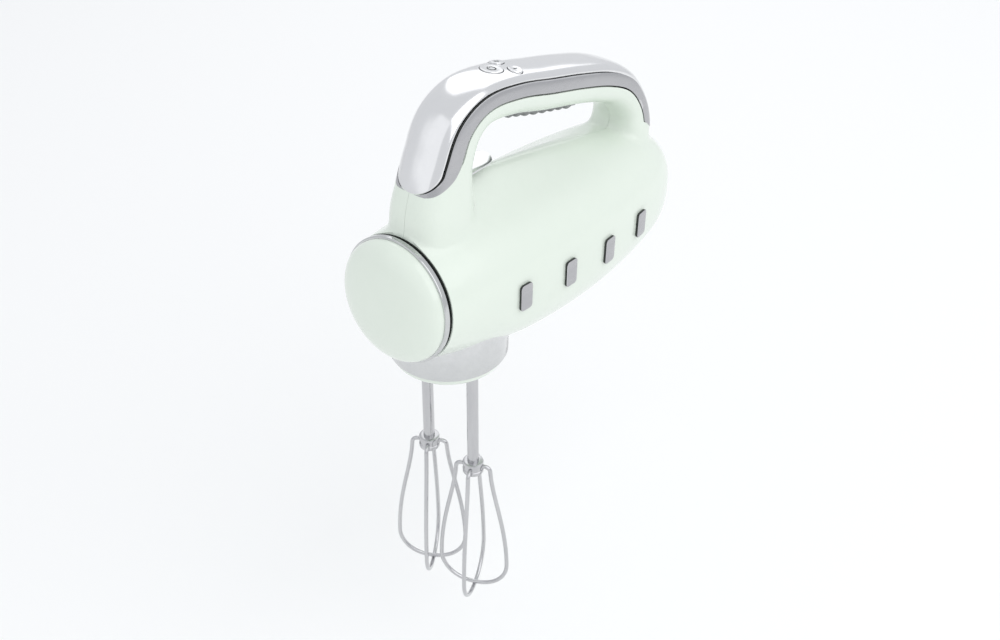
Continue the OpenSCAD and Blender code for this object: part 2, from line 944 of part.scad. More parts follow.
// Beater: tube stem, drilled hub and two crossed wire loops
stem_top = motor_z - 6;
hub_top = -stem_drop;
wire_z = hub_top - hub_h * 0.42;
module stem() {
    difference() {
        translate([0, 0, hub_top - hub_h * 0.8])
            cylinder(r = stem_d / 2, h = stem_top - hub_top + hub_h * 0.8);
        translate([0, 0, 0])
            cylinder(r = stem_d / 2 - 0.9, h = stem_top + 1);
    }
}
wire_bite = hub_r - 1.9;
inner_step = wire_d + 0.15;
module hub(turn) {
    difference() {
        translate([0, 0, hub_top - hub_h])
            cylinder(r = hub_r, h = hub_h);
        translate([0, 0, hub_top - hub_h * 0.8 - seat])
            cylinder(r = stem_d / 2 + seat / 2, h = hub_h);
        for (i = [0:3])
            rotate(turn + 90 * i)
                translate([0, 0, wire_z])
                    rotate([0, 90, 0])
                        translate([0, 0, wire_bite])
                            cylinder(r = wire_d / 2 + 0.02, h = 10);
    }
}
// Half loop in its own plane, from the hub out, down and in to the axis
function loop_half(low) = let (top = wire_z, knee = 3.6, out = loop_r * 0.5, foot = low + loop_r * 0.98)
    concat(
        [[wire_bite + 0.1, top], [hub_r + 0.5, top]],
        [for (w = [90:-18:0]) [out - knee + knee * cos(w), top - knee + knee * sin(w)]],
        [for (f = [0.12:0.12:0.92])
            [bez([out, out + 1.4, loop_r - 0.4, loop_r], f), bez([top - knee, top - 26, foot + 34, foot], f)]],
        [for (w = [0:-11.25:-84]) [loop_r * cos(w) ^ 0.92, foot + (foot - low) * sin(w)]]);
module wire_loop(low, turn) {
    half = loop_half(low);
    n = len(half);
    path = concat(half, [[0, low]], [for (i = [n - 1:-1:0]) [-half[i][0], half[i][1]]]);
    m = len(path);
    rotate(turn)
        loft([for (i = [0:m - 1])
            let (a = path[max(0, i - 1)], b = path[min(m - 1, i + 1)], d = (b - a) / norm(b - a))
            [for (w = [0:45:315])
                [path[i][0] - d[1] * cos(w) * wire_d / 2, sin(w) * wire_d / 2,
                    path[i][1] + d[0] * cos(w) * wire_d / 2]]]);
}
outer_low = wire_z - loop_h;
module place_beater(way) {
    to_grip()
        translate([0, way * side, 0])
            children();
}
module left_stem() {
    color(steel)
        place_beater(1)
            stem();
}
module right_stem() {
    color(steel)
        place_beater(-1)
            stem();
}
module left_hub() {
    color(steel)
        place_beater(1)
            hub(left_turn);
}
module right_hub() {
    color(steel)
        place_beater(-1)
            hub(right_turn);
}
module left_outer_loop() {
    color(steel)
        place_beater(1)
            wire_loop(outer_low, left_turn);
}
module left_inner_loop() {
    color(steel)
        place_beater(1)
            wire_loop(outer_low + inner_step, 90 + left_turn);
}
module right_outer_loop() {
    color(steel)
        place_beater(-1)
            wire_loop(outer_low, right_turn);
}
module right_inner_loop() {
    color(steel)
        place_beater(-1)
            wire_loop(outer_low + inner_step, 90 + right_turn);
}

// Eject lever: a rounded tongue behind the front foot of the handle
pin_r = 2;
lever_t = 2.2;
module eject_lever() {
    color(chrome)
        to_grip()
            translate([lever_x, 0, lever_z])
                difference() {
                    union() {
                        translate([-lever_reach + lever_w / 2, 0, -lever_t / 2])
                            cylinder(r = lever_w / 2, h = lever_t);
                        translate([-lever_reach + lever_w / 2, -lever_w / 2, -lever_t / 2])
                            cube([lever_reach - lever_w / 2, lever_w, lever_t]);
                        rotate([90, 0, 0])
                            cylinder(r = 4, h = lever_w, center = true);
                    }
                    rotate([90, 0, 0])
                        cylinder(r = pin_r + run_fit, h = 40, center = true);
                }
}
module lever_pin() {
    color(steel)
        to_grip()
            translate([lever_x, 0, lever_z])
                rotate([90, 0, 0])
                    cylinder(r = pin_r, h = lever_w + 9, center = true);
}
module lever_bracket() {
    color([0.85, 0.85, 0.82])
        to_grip()
            for (s = [-1, 1])
                translate([lever_x - 5, s * (lever_w / 2 + 2.5) - 1.5, lever_z - 12])
                    difference() {
                        cube([10, 3, 17]);
                        translate([5, -1, 12])
                            rotate([-90, 0, 0])
                                cylinder(r = pin_r + 0.01, h = 5);
                    }
}

// Ejector: a bridge with two rods over the stems and a post under the lever
eject_travel = 2.4;
rod_r = stem_d / 2 - 0.4;
rod_low = stem_top + eject_travel + 0.6;
bridge_z = spindle_top + eject_travel + 1;
post_x = lever_x - 17;
module ejector() {
    color([0.85, 0.85, 0.82])
        to_grip()
            union() {
                translate([-8, -side - 5, bridge_z])
                    cube([16, beater_gap + 10, 3]);
                for (s = [-1, 1])
                    translate([0, s * side, rod_low])
                        cylinder(r = rod_r, h = bridge_z + 1 - rod_low);
                translate([post_x, 0, bridge_z])
                    cylinder(r = 2.2, h = lever_z - lever_t / 2 - 2 * gap - bridge_z);
            }
}
spring_r = 5;
module ejector_spring() {
    low = box_top + 4 + 0.2;
    high = bridge_z - 0.1;
    turns = 3;
    steps = 36;
    color(steel)
        to_grip()
            loft([for (i = [0:steps])
                let (a = 360 * turns * i / steps, z = low + 0.6 + (high - low - 1.2) * i / steps)
                [for (w = [0:60:300])
                    [(spring_r + 0.5 * cos(w)) * cos(a), (spring_r + 0.5 * cos(w)) * sin(a), z + 0.5 * sin(w)]]]);
}

left_shell();
right_shell();
nose_cap();
nose_ring();
nose_seal();
neck();
collar_ring();
handle_trim();
handle_seal();
handle_top();
grip_pad();
button_board();
push_switches();
flank_badges();
heel_cover();
heel_pad();
cord_gland();
control_board();
shell_screws();
gearbox_base();
gearbox_cover();
gearbox_screws();
spindle_bushes();
worm_bearing();
motor_can();
motor_stator();
motor_mounts();
rear_bearing();
brush_holders();
brushes();
rotor_shaft();
armature();
commutator();
worm();
fan();
left_spindle();
left_worm_wheel();
right_spindle();
right_worm_wheel();
left_stem();
left_hub();
left_outer_loop();
left_inner_loop();
right_stem();
right_hub();
right_outer_loop();
right_inner_loop();
eject_lever();
lever_pin();
lever_bracket();
ejector();
ejector_spring();
power_button();
minus_button();
plus_button();
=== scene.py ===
import json
import math
import bpy
import numpy as np
from mathutils import Matrix, Vector
from mathutils.bvhtree import BVHTree


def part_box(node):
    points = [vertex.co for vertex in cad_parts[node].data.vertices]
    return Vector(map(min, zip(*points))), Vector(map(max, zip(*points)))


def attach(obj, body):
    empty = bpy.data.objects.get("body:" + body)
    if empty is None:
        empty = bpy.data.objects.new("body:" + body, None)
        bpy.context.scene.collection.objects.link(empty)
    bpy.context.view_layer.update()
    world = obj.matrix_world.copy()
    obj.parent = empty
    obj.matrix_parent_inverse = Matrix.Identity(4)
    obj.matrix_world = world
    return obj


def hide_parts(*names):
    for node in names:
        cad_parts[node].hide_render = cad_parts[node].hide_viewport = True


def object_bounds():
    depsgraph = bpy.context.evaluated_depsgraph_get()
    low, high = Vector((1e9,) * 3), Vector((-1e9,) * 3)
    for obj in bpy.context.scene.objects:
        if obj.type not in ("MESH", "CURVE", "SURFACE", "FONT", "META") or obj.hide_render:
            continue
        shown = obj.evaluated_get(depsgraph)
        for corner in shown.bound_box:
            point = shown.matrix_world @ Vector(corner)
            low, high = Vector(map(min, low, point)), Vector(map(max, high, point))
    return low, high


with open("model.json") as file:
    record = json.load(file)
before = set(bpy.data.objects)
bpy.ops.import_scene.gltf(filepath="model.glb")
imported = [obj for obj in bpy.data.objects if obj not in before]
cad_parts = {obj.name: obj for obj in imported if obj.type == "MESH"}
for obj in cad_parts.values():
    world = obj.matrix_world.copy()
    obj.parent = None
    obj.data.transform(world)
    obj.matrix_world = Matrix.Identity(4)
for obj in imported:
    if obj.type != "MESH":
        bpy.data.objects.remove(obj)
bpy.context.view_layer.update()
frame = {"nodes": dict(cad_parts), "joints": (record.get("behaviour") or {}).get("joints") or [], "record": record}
print("frame loaded")

# All shapes are drawn in millimetres from the middle of the neck's underside
mm = 0.001
joints = {joint["name"]: joint for joint in frame["joints"]}
origin = Vector((joints["left_spindle_spin"]["pos_m"][0], 0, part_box("neck")[0].z))


def span(node):  # a CAD node's lowest and highest corners in millimetres
    low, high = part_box(node)
    return (low - origin) / mm, (high - origin) / mm


def placed(points):  # millimetres from the neck to metres in the row frame
    return np.asarray(points, float) * mm + np.array(origin)


# ---- tools ----

def deselectAll():
    if bpy.context.object and bpy.context.object.mode != "OBJECT":
        bpy.ops.object.mode_set(mode="OBJECT")
    bpy.ops.object.select_all(action="DESELECT")


def pick(*pieces):
    deselectAll()
    for piece in pieces:
        piece.select_set(True)
    bpy.context.view_layer.objects.active = pieces[0]


def edit(piece):
    pick(piece)
    bpy.ops.object.mode_set(mode="EDIT")
    bpy.ops.mesh.select_all(action="SELECT")


def closeUp(piece, fillEnds=True):
    edit(piece)
    bpy.ops.mesh.remove_doubles(threshold=0.004 * mm)
    if fillEnds:
        bpy.ops.mesh.fill_holes(sides=0)
    bpy.ops.mesh.select_all(action="SELECT")
    bpy.ops.mesh.normals_make_consistent(inside=False)
    bpy.ops.object.mode_set(mode="OBJECT")


def rolled(name, rings, fillEnds=True):  # a grid rolled into a tube, one ring per row
    rings = placed(rings)
    rows, around = rings.shape[:2]
    deselectAll()
    bpy.ops.mesh.primitive_grid_add(x_subdivisions=around, y_subdivisions=rows - 1, size=2)
    piece = bpy.context.object
    piece.name = piece.data.name = name
    flat = np.array([v.co[:2] for v in piece.data.vertices])
    column = np.rint((flat[:, 0] + 1) / 2 * around).astype(int) % around
    row = np.rint((flat[:, 1] + 1) / 2 * (rows - 1)).astype(int)
    piece.data.vertices.foreach_set("co", rings[row, column].ravel())
    closeUp(piece, fillEnds)
    return piece


def turned(name, profile, centre=(0, 0, 0), axis=(0, 0, 1), steps=96):  # a closed profile spun round an axis
    centre, axis = Vector(placed(centre)), Vector(axis).normalized()
    outward = axis.orthogonal().normalized()
    deselectAll()
    bpy.ops.mesh.primitive_circle_add(vertices=len(profile), radius=1)
    piece = bpy.context.object
    piece.name = piece.data.name = name
    for vertex, (radius, height) in zip(piece.data.vertices, profile):
        vertex.co = centre + outward * (radius * mm) + axis * (height * mm)
    edit(piece)
    bpy.ops.mesh.spin(steps=steps, angle=2 * math.pi, center=centre, axis=axis)
    closeUp(piece, fillEnds=False)
    return piece


def plug(name, radius, low, high, centre=(0, 0, 0), axis=(0, 0, 1), steps=96):  # a plain round cutter
    return turned(name, [(0, low), (radius, low), (radius, high), (0, high)], centre, axis, steps)


def modify(piece, kind, **settings):
    pick(piece)
    modifier = piece.modifiers.new(kind.title(), kind)
    for key, value in settings.items():
        setattr(modifier, key, value)
    bpy.ops.object.modifier_apply(modifier=modifier.name)


def combine(piece, other, operation="DIFFERENCE", solver="MANIFOLD"):
    modify(piece, "BOOLEAN", object=other, operation=operation, solver=solver)
    bpy.data.objects.remove(other)


def copyOf(piece, name):
    pick(piece)
    bpy.ops.object.duplicate()
    twin = bpy.context.object
    twin.name = twin.data.name = name
    return twin


def joined(pieces, name):
    pick(*pieces)
    bpy.ops.object.join()
    piece = bpy.context.object
    piece.name = piece.data.name = name
    return piece


def bevelled(piece, width, segments=2, angle=40):
    modify(piece, "BEVEL", width=width * mm, segments=segments, limit_method="ANGLE",
           angle_limit=math.radians(angle), use_clamp_overlap=True)


def block(name, low, high):
    low, high = Vector(placed(low)), Vector(placed(high))
    deselectAll()
    bpy.ops.mesh.primitive_cube_add(size=1)
    piece = bpy.context.object
    piece.name = piece.data.name = name
    piece.data.transform(Matrix.Translation((low + high) / 2) @ Matrix.Diagonal((*(high - low), 1)))
    return piece


def finishPiece(piece, body, finishes, slot, *nodes, angle=35):
    pick(piece)
    bpy.ops.object.shade_smooth_by_angle(angle=math.radians(angle))
    piece.data.materials.clear()
    for finish in finishes if isinstance(finishes, (list, tuple)) else [finishes]:
        piece.data.materials.append(finish)
    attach(piece, body)
    if nodes:
        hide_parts(*nodes)
    print("made", piece.name, len(piece.data.polygons), "faces")
    return piece


def powered(value, exponent):
    return np.sign(value) * np.abs(value) ** exponent


# ---- materials ----

def newGroup(name, inputs, outputs):
    group = bpy.data.node_groups.new(name, "ShaderNodeTree")
    for label, kind, value in inputs:
        socket = group.interface.new_socket(label, in_out="INPUT", socket_type=kind)
        if value is not None:
            socket.default_value = value
    for label, kind in outputs:
        group.interface.new_socket(label, in_out="OUTPUT", socket_type=kind)
    return group, group.nodes.new("NodeGroupInput"), group.nodes.new("NodeGroupOutput")


def mathNode(tree, operation, first, second, clamp=False):
    node = tree.nodes.new("ShaderNodeMath")
    node.operation, node.use_clamp = operation, clamp
    for socket, value in zip(node.inputs, (first, second)):
        if isinstance(value, (int, float)):
            socket.default_value = value
        else:
            tree.links.new(value, socket)
    return node.outputs[0]


def noiseNode(tree, vector, scale, detail, roughness=0.5):
    node = tree.nodes.new("ShaderNodeTexNoise")
    node.inputs["Detail"].default_value = detail
    node.inputs["Roughness"].default_value = roughness
    tree.links.new(vector, node.inputs["Vector"])
    if isinstance(scale, (int, float)):
        node.inputs["Scale"].default_value = scale
    else:
        tree.links.new(scale, node.inputs["Scale"])
    return node.outputs["Fac"]


# Handling marks: broad soft clouds with finer smears over them
marksGroup, groupIn, groupOut = newGroup(
    "handlingMarks",
    [("Position", "NodeSocketVector", None), ("Scale", "NodeSocketFloat", 30.0),
     ("Fine Share", "NodeSocketFloat", 0.4)],
    [("Tone", "NodeSocketFloat")])
broad = noiseNode(marksGroup, groupIn.outputs["Position"], groupIn.outputs["Scale"], 3)
fineScale = mathNode(marksGroup, "MULTIPLY", groupIn.outputs["Scale"], 7.0)
fine = noiseNode(marksGroup, groupIn.outputs["Position"], fineScale, 5, 0.6)
fineTone = mathNode(marksGroup, "MULTIPLY", fine, groupIn.outputs["Fine Share"])
broadShare = mathNode(marksGroup, "SUBTRACT", 1.0, groupIn.outputs["Fine Share"])
broadTone = mathNode(marksGroup, "MULTIPLY", broad, broadShare)
marksGroup.links.new(mathNode(marksGroup, "ADD", fineTone, broadTone, True), groupOut.inputs["Tone"])

# Surface grain: the fine relief that moulding, brushing or casting leaves
grainGroup, groupIn, groupOut = newGroup(
    "surfaceGrain",
    [("Position", "NodeSocketVector", None), ("Scale", "NodeSocketFloat", 900.0),
     ("Waviness", "NodeSocketFloat", 0.3)],
    [("Height", "NodeSocketFloat")])
small = noiseNode(grainGroup, groupIn.outputs["Position"], groupIn.outputs["Scale"], 4, 0.55)
waveScale = mathNode(grainGroup, "MULTIPLY", groupIn.outputs["Scale"], 0.12)
wavy = noiseNode(grainGroup, groupIn.outputs["Position"], waveScale, 2)
waves = mathNode(grainGroup, "MULTIPLY", wavy, groupIn.outputs["Waviness"])
grainGroup.links.new(mathNode(grainGroup, "ADD", small, waves), groupOut.inputs["Height"])

# Edge wear: a mask that is 1 on convex edges, broken up by noise
wearGroup, groupIn, groupOut = newGroup(
    "edgeWear",
    [("Position", "NodeSocketVector", None), ("Start", "NodeSocketFloat", 0.54),
     ("Spread", "NodeSocketFloat", 0.08)],
    [("Mask", "NodeSocketFloat")])
geometry = wearGroup.nodes.new("ShaderNodeNewGeometry")
past = mathNode(wearGroup, "SUBTRACT", geometry.outputs["Pointiness"], groupIn.outputs["Start"])
edge = mathNode(wearGroup, "DIVIDE", past, groupIn.outputs["Spread"], True)
broken = noiseNode(wearGroup, groupIn.outputs["Position"], 260.0, 4, 0.7)
wearGroup.links.new(mathNode(wearGroup, "MULTIPLY", edge, broken, True), groupOut.inputs["Mask"])


def useGroup(tree, group, position, **values):
    node = tree.nodes.new("ShaderNodeGroup")
    node.node_tree = group
    tree.links.new(position, node.inputs["Position"])
    for key, value in values.items():
        node.inputs[key.replace("_", " ")].default_value = value
    return node.outputs[0]


colourSockets = {"in": (6, 7), "out": 2}  # where a mix node keeps its colours


def mixColour(tree, factor, first, second):
    node = tree.nodes.new("ShaderNodeMix")
    node.data_type = "RGBA"
    tree.links.new(factor, node.inputs["Factor"])
    for index, value in zip(colourSockets["in"], (first, second)):
        if isinstance(value, (tuple, list)):
            node.inputs[index].default_value = (*value, 1)
        else:
            tree.links.new(value, node.inputs[index])
    return node.outputs[colourSockets["out"]]


def spread(tree, value, low, high):
    node = tree.nodes.new("ShaderNodeMapRange")
    tree.links.new(value, node.inputs["Value"])
    node.inputs["From Min"].default_value = 0.3
    node.inputs["From Max"].default_value = 0.7
    node.inputs["To Min"].default_value = low
    node.inputs["To Max"].default_value = high
    return node.outputs["Result"]


def makeMaterial(name, colour, shade, roughness, metallic=0.0, coat=0.0, stretch=(1, 1, 1),
                 marks=30.0, grain=900.0, relief=0.05, waviness=0.3, wear=None, pattern=None, sheen=0.0):
    material = bpy.data.materials.new(name)
    material.use_nodes = True
    material.diffuse_color = (*colour, 1)
    tree = material.node_tree
    tree.nodes.clear()
    output = tree.nodes.new("ShaderNodeOutputMaterial")
    shader = tree.nodes.new("ShaderNodeBsdfPrincipled")
    tree.links.new(shader.outputs[0], output.inputs[0])
    coordinates = tree.nodes.new("ShaderNodeTexCoord")
    mapping = tree.nodes.new("ShaderNodeMapping")
    mapping.inputs["Scale"].default_value = stretch
    tree.links.new(coordinates.outputs["Object"], mapping.inputs["Vector"])
    position = mapping.outputs["Vector"]
    tone = useGroup(tree, marksGroup, position, Scale=marks)
    height = useGroup(tree, grainGroup, position, Scale=grain, Waviness=waviness)
    base = mixColour(tree, spread(tree, tone, 0.0, 1.0), colour, shade)
    if pattern:
        base, height = pattern(tree, coordinates.outputs["Object"], base, height)
    if wear:
        mask = useGroup(tree, wearGroup, position)
        base = mixColour(tree, mask, base, wear)
    tree.links.new(base, shader.inputs["Base Color"])
    tree.links.new(spread(tree, tone, roughness[0], roughness[1]), shader.inputs["Roughness"])
    bump = tree.nodes.new("ShaderNodeBump")
    bump.inputs["Strength"].default_value = relief
    bump.inputs["Distance"].default_value = 0.0004
    tree.links.new(height, bump.inputs["Height"])
    tree.links.new(bump.outputs["Normal"], shader.inputs["Normal"])
    shader.inputs["Metallic"].default_value = metallic
    shader.inputs["Coat Weight"].default_value = coat
    shader.inputs["Coat Roughness"].default_value = 0.06
    shader.inputs["Sheen Weight"].default_value = sheen
    return material


def waveNode(tree, position, direction, scale, profile="SIN"):
    node = tree.nodes.new("ShaderNodeTexWave")
    node.wave_type, node.bands_direction, node.wave_profile = "BANDS", direction, profile
    node.inputs["Scale"].default_value = scale
    node.inputs["Distortion"].default_value = 0.0
    tree.links.new(position, node.inputs["Vector"])
    return node.outputs["Fac"]


patternScales = {"plates": 320.0, "wires": 560.0, "tracks": 260.0, "trackWidth": 0.06}


def laminations(tree, position, base, height):  # thin stacked plates across the shaft
    lines = waveNode(tree, position, "X", patternScales["plates"])
    return mixColour(tree, lines, base, (0.10, 0.10, 0.11)), lines


def windings(tree, position, base, height):  # enamelled wire laid side by side
    lines = waveNode(tree, position, "X", patternScales["wires"])
    return mixColour(tree, lines, (0.30, 0.10, 0.03), base), lines


def circuitTraces(tree, position, base, height):  # copper tracks under green lacquer
    brick = tree.nodes.new("ShaderNodeTexBrick")
    brick.inputs["Scale"].default_value = patternScales["tracks"]
    brick.inputs["Mortar Size"].default_value = patternScales["trackWidth"]
    tree.links.new(position, brick.inputs["Vector"])
    return mixColour(tree, brick.outputs["Fac"], base, (0.16, 0.42, 0.18)), height


colours = {
    "mint": (0.760, 0.822, 0.742), "mintShade": (0.735, 0.802, 0.718),
    "chrome": (0.83, 0.83, 0.835), "chromeShade": (0.79, 0.79, 0.80),
    "steel": (0.60, 0.60, 0.61), "steelShade": (0.50, 0.50, 0.515),
    "rubber": (0.26, 0.265, 0.27), "rubberShade": (0.20, 0.205, 0.21),
    "seal": (0.012, 0.015, 0.013), "sealShade": (0.02, 0.024, 0.021),
}
materials = {
    "mint_plastic": makeMaterial("mintGloss", colours["mint"], colours["mintShade"], (0.16, 0.24), coat=0.35,
                                 marks=14.0, grain=700.0, relief=0.018, wear=(0.80, 0.88, 0.81)),
    "chrome_trim": makeMaterial("polishedChrome", colours["chrome"], colours["chromeShade"], (0.12, 0.20),
                                metallic=1.0, marks=40.0, grain=500.0, relief=0.012, wear=(0.93, 0.93, 0.94)),
    "dark_seal": makeMaterial("darkSeal", colours["seal"], colours["sealShade"], (0.45, 0.62), marks=60.0,
                              grain=1500.0, relief=0.12),
    "soft_rubber": makeMaterial("greyRubber", colours["rubber"], colours["rubberShade"], (0.55, 0.75),
                                marks=50.0, grain=2600.0, relief=0.25, wear=(0.30, 0.30, 0.31), sheen=0.15),
    "circuit_board": makeMaterial("circuitBoard", (0.02, 0.13, 0.05), (0.015, 0.10, 0.04), (0.25, 0.4),
                                  coat=0.3, pattern=circuitTraces),
    "switch_plastic": makeMaterial("switchPlastic", (0.02, 0.02, 0.022), (0.035, 0.035, 0.036), (0.35, 0.5),
                                   grain=1800.0, relief=0.15),
    "zinc_screw": makeMaterial("zincPlate", (0.62, 0.62, 0.60), (0.55, 0.56, 0.52), (0.25, 0.4), metallic=1.0,
                               marks=160.0, grain=1400.0, relief=0.1, wear=(0.8, 0.8, 0.78)),
    "white_nylon": makeMaterial("whiteNylon", (0.74, 0.72, 0.65), (0.68, 0.66, 0.58), (0.38, 0.5), marks=45.0,
                                grain=1600.0, relief=0.1),
    "bronze": makeMaterial("sinteredBronze", (0.50, 0.30, 0.11), (0.38, 0.22, 0.08), (0.3, 0.48),
                           metallic=1.0, marks=200.0, grain=2600.0, relief=0.3),
    "motor_steel": makeMaterial("motorSteel", (0.52, 0.52, 0.53), (0.42, 0.42, 0.43), (0.24, 0.38),
                                metallic=1.0, stretch=(0.2, 1, 1), marks=120.0, grain=1800.0, relief=0.12),
    "laminated_iron": makeMaterial("laminatedIron", (0.22, 0.22, 0.23), (0.16, 0.16, 0.17), (0.4, 0.55),
                                   metallic=0.9, relief=0.3, pattern=laminations),
    "brown_phenolic": makeMaterial("brownPhenolic", (0.14, 0.06, 0.025), (0.10, 0.04, 0.018), (0.35, 0.5),
                                   grain=1500.0, relief=0.15),
    "carbon": makeMaterial("brushCarbon", (0.018, 0.018, 0.018), (0.03, 0.03, 0.03), (0.5, 0.7),
                           grain=3000.0, relief=0.3),
    "copper_winding": makeMaterial("copperWinding", (0.62, 0.24, 0.09), (0.52, 0.19, 0.07), (0.22, 0.36),
                                   metallic=1.0, relief=0.35, pattern=windings),
    "beater_steel": makeMaterial("beaterSteel", colours["steel"], colours["steelShade"], (0.14, 0.24),
                                 metallic=1.0, stretch=(1, 1, 0.12), marks=160.0, grain=1500.0, relief=0.06),
}
satinChrome = makeMaterial("satinChrome", (0.50, 0.50, 0.51), (0.45, 0.45, 0.465), (0.22, 0.32),
                           metallic=1.0, stretch=(0.15, 1, 1), marks=60.0, grain=1400.0, relief=0.05,
                           wear=(0.86, 0.86, 0.87))
# Chrome for the collar and nose ring with a darker base colour: painted shade standing in for the greyer
# reflections these bands show.
collarChromeWithPaintedShade = makeMaterial("collarChromeWithPaintedShade", (0.62, 0.63, 0.63), (0.55, 0.56, 0.56), (0.10, 0.18),
                            metallic=1.0, marks=30.0, grain=600.0, relief=0.015, wear=(0.84, 0.84, 0.85))
print("materials made")

# ---- casing ----

casing = {"wall": 2.4, "groove": 2.4, "ringWidth": 3.2, "ringX": 42.0, "ringRise": 8.8, "tilt": 4.6,
          "domeHeight": 15.0, "heelRadius": 19.0, "heelDrop": 12.0, "heelKeep": 0.6836, "tailStart": 0.86,
          "bodyWidth": 88.0, "spineHeight": 15.0, "spineWidth": 12.0, "spineBack": -138.0,
          "spineBackRun": 110.0, "spineFront": 24.0, "spineFrontRun": 30.0, "square": 0.9, "squareTop": 0.15,
          "squareBy": 0.3, "leanBy": 0.35, "rows": 90, "around": 120, "voxel": 1.05, "blendReach": 15.0,
          "blendPasses": 55, "seam": 0.07, "snug": 0.05}
ringRadius = span("nose_ring")[1].y
motorZ = (Vector(joints["rotor_spin"]["pos_m"]) - origin).z / mm
midZ = motorZ + casing["ringRise"]
tailX = span("heel_cover")[0].x
noseX = casing["ringX"] - casing["ringWidth"] - casing["groove"]
casingLength = noseX - tailX
collarRadius = span("collar_ring")[1].y
collarLow, collarTop = span("collar_ring")[0].z, span("collar_ring")[1].z
noseAxis = Vector((math.cos(math.radians(casing["tilt"])), 0, math.sin(math.radians(casing["tilt"]))))
noseCentre = (noseX, 0, midZ)
# Outlines from nose to tail, each a curve through its first and last points, pulled by the two between
halfWidths = [ringRadius, ringRadius + 9, casing["bodyWidth"] / 2 + 6, casing["heelRadius"] + 14]
topHeights = [midZ + ringRadius - 0.2, midZ + 38.7, midZ + 34.2, midZ + 20]
lowHeights = [midZ - ringRadius + 0.2, midZ - 58.3, midZ - 62, midZ - 42]


def cubic(points, u):
    a, b, c, d = points
    return a * (1 - u) ** 3 + 3 * b * u * (1 - u) ** 2 + 3 * c * u ** 2 * (1 - u) + d * u ** 3


def tailCap(u):
    start, keep = casing["tailStart"], casing["heelKeep"]
    return 1 if u < start else keep + (1 - keep) * math.sqrt(max(0, 1 - ((u - start) / (1 - start)) ** 2))


def spineRise(x):
    backShare = max(0, min(1, (x - casing["spineBack"]) / casing["spineBackRun"]))
    frontShare = max(0, min(1, (casing["spineFront"] - x) / casing["spineFrontRun"]))
    return casing["spineHeight"] * backShare * frontShare


def casingRing(u, inset, count):
    shape = max(u, 0)
    top, low = cubic(topHeights, shape), cubic(lowHeights, shape)
    middle = (top + low) / 2
    width = cubic(halfWidths, shape) * tailCap(u) - inset
    height = (top - low) / 2 * tailCap(u) - inset
    turn = 2 * math.pi * (np.arange(count) + 0.5) / count
    fuller = casing["square"] * min(1, shape / casing["squareBy"])
    exponent = 2 + np.where(np.sin(turn) < 0, fuller, casing["squareTop"] * fuller)
    y = width * powered(np.cos(turn), 2 / exponent)
    z = height * powered(np.sin(turn), 2 / exponent)
    x = noseX - casingLength * u
    bump = np.where(np.sin(turn) < 0, 0, spineRise(x) * np.exp(-(y / casing["spineWidth"]) ** 2))
    lean = -math.tan(math.radians(casing["tilt"])) * z * max(0, 1 - shape / casing["leanBy"])
    return np.stack([x + lean, y, middle + z + bump], 1)


def casingForm(name, inset, rows, count, first):
    last = 1 - inset / casingLength
    steps = [first + (last - first) * (1 - (1 - i / rows) ** 1.6) for i in range(rows + 1)]
    return rolled(name, [casingRing(u, inset, count) for u in steps])


# Handle: centre line in side view, half thickness and half width at each station
halfThick, halfGrip, gripZ = 12.5, 16.5, -origin.z / mm
gripX = -origin.x / mm
stations = np.array([
    [12, motorZ + 26, 20, 21], [11, motorZ + 50, 21.5, 19.5], [8.5, motorZ + 67, 19.5, 17.4],
    [5, motorZ + 81, 16.6, halfGrip + 0.3], [-3.5, gripZ + 3.2, halfThick + 3, halfGrip],
    [-20, gripZ + 11, halfThick + 0.4, halfGrip], [-45, gripZ + 8, halfThick, halfGrip],
    [gripX, gripZ, halfThick + 0.5, halfGrip], [-100, gripZ - 8, halfThick + 0.4, halfGrip],
    [-126, gripZ - 17, halfThick + 0.2, halfGrip], [-146, gripZ - 28, halfThick - 0.8, halfGrip],
    [-158.5, motorZ + 50, halfThick - 1.4, halfGrip + 0.2],
    [-161, motorZ + 34, halfThick + 0.2, halfGrip + 2], [-156, motorZ + 20, halfThick + 1, halfGrip + 4]])
lastStation = len(stations) - 1
handleSquare = 3.0


def along(t):
    i = min(int(t), lastStation - 1)
    f = t - i
    a, b, c, d = (stations[max(0, min(lastStation, i + k))] for k in (-1, 0, 1, 2))
    return b + f * (0.5 * (c - a) + f * (a - 2.5 * b + 2 * c - 0.5 * d + f * (1.5 * (b - c) + 0.5 * (d - a))))


def heading(t):
    run = along(min(lastStation, t + 0.05))[:2] - along(max(0, t - 0.05))[:2]
    return run / np.linalg.norm(run)


def handlePoint(t, across, up):
    centre, way = along(t), heading(t)
    return [centre[0] + way[1] * up, across, centre[1] - way[0] * up]


def outerUp(t, across, inset=0.0):
    centre = along(t)
    share = min(1, abs(across) / (centre[3] - inset))
    return (centre[2] - inset) * (1 - share ** handleSquare) ** (1 / handleSquare)


def skinPoint(t, turn, inset):
    centre = along(t)
    return handlePoint(t, (centre[3] - inset) * powered(math.cos(turn), 2 / handleSquare),
                       (centre[2] - inset) * powered(math.sin(turn), 2 / handleSquare))


def handleForm(name, inset, steps, count):
    return rolled(name, [[skinPoint(lastStation * i / steps, 2 * math.pi * (k + 0.5) / count, inset)
                          for k in range(count)] for i in range(steps + 1)])


# Top plate, seal and side trim follow the handle's outer side
plate = {"first": 2.0, "last": 12.1, "half": halfGrip - 2.2, "gap": 1.0, "thick": 1.6, "edge": 0.55,
         "steps": 150}
seal = {"short": 0.1, "top": 1.65, "bottom": 2.25}
trim = {"drop": 9.5, "thick": 1.2, "tray": 2.35, "steps": 150, "roomAngle": 0.7, "roomOut": 3.0}


def taper(t, reach):
    front, back = min(1, (t - plate["first"]) / reach), min(1, (plate["last"] - t) / (reach * 0.6))
    return math.sqrt(max(0.02, (1 - (1 - front) ** 2) * (1 - (1 - back) ** 2)))


def plateLimit(t):
    return plate["half"] * taper(t, 0.8)


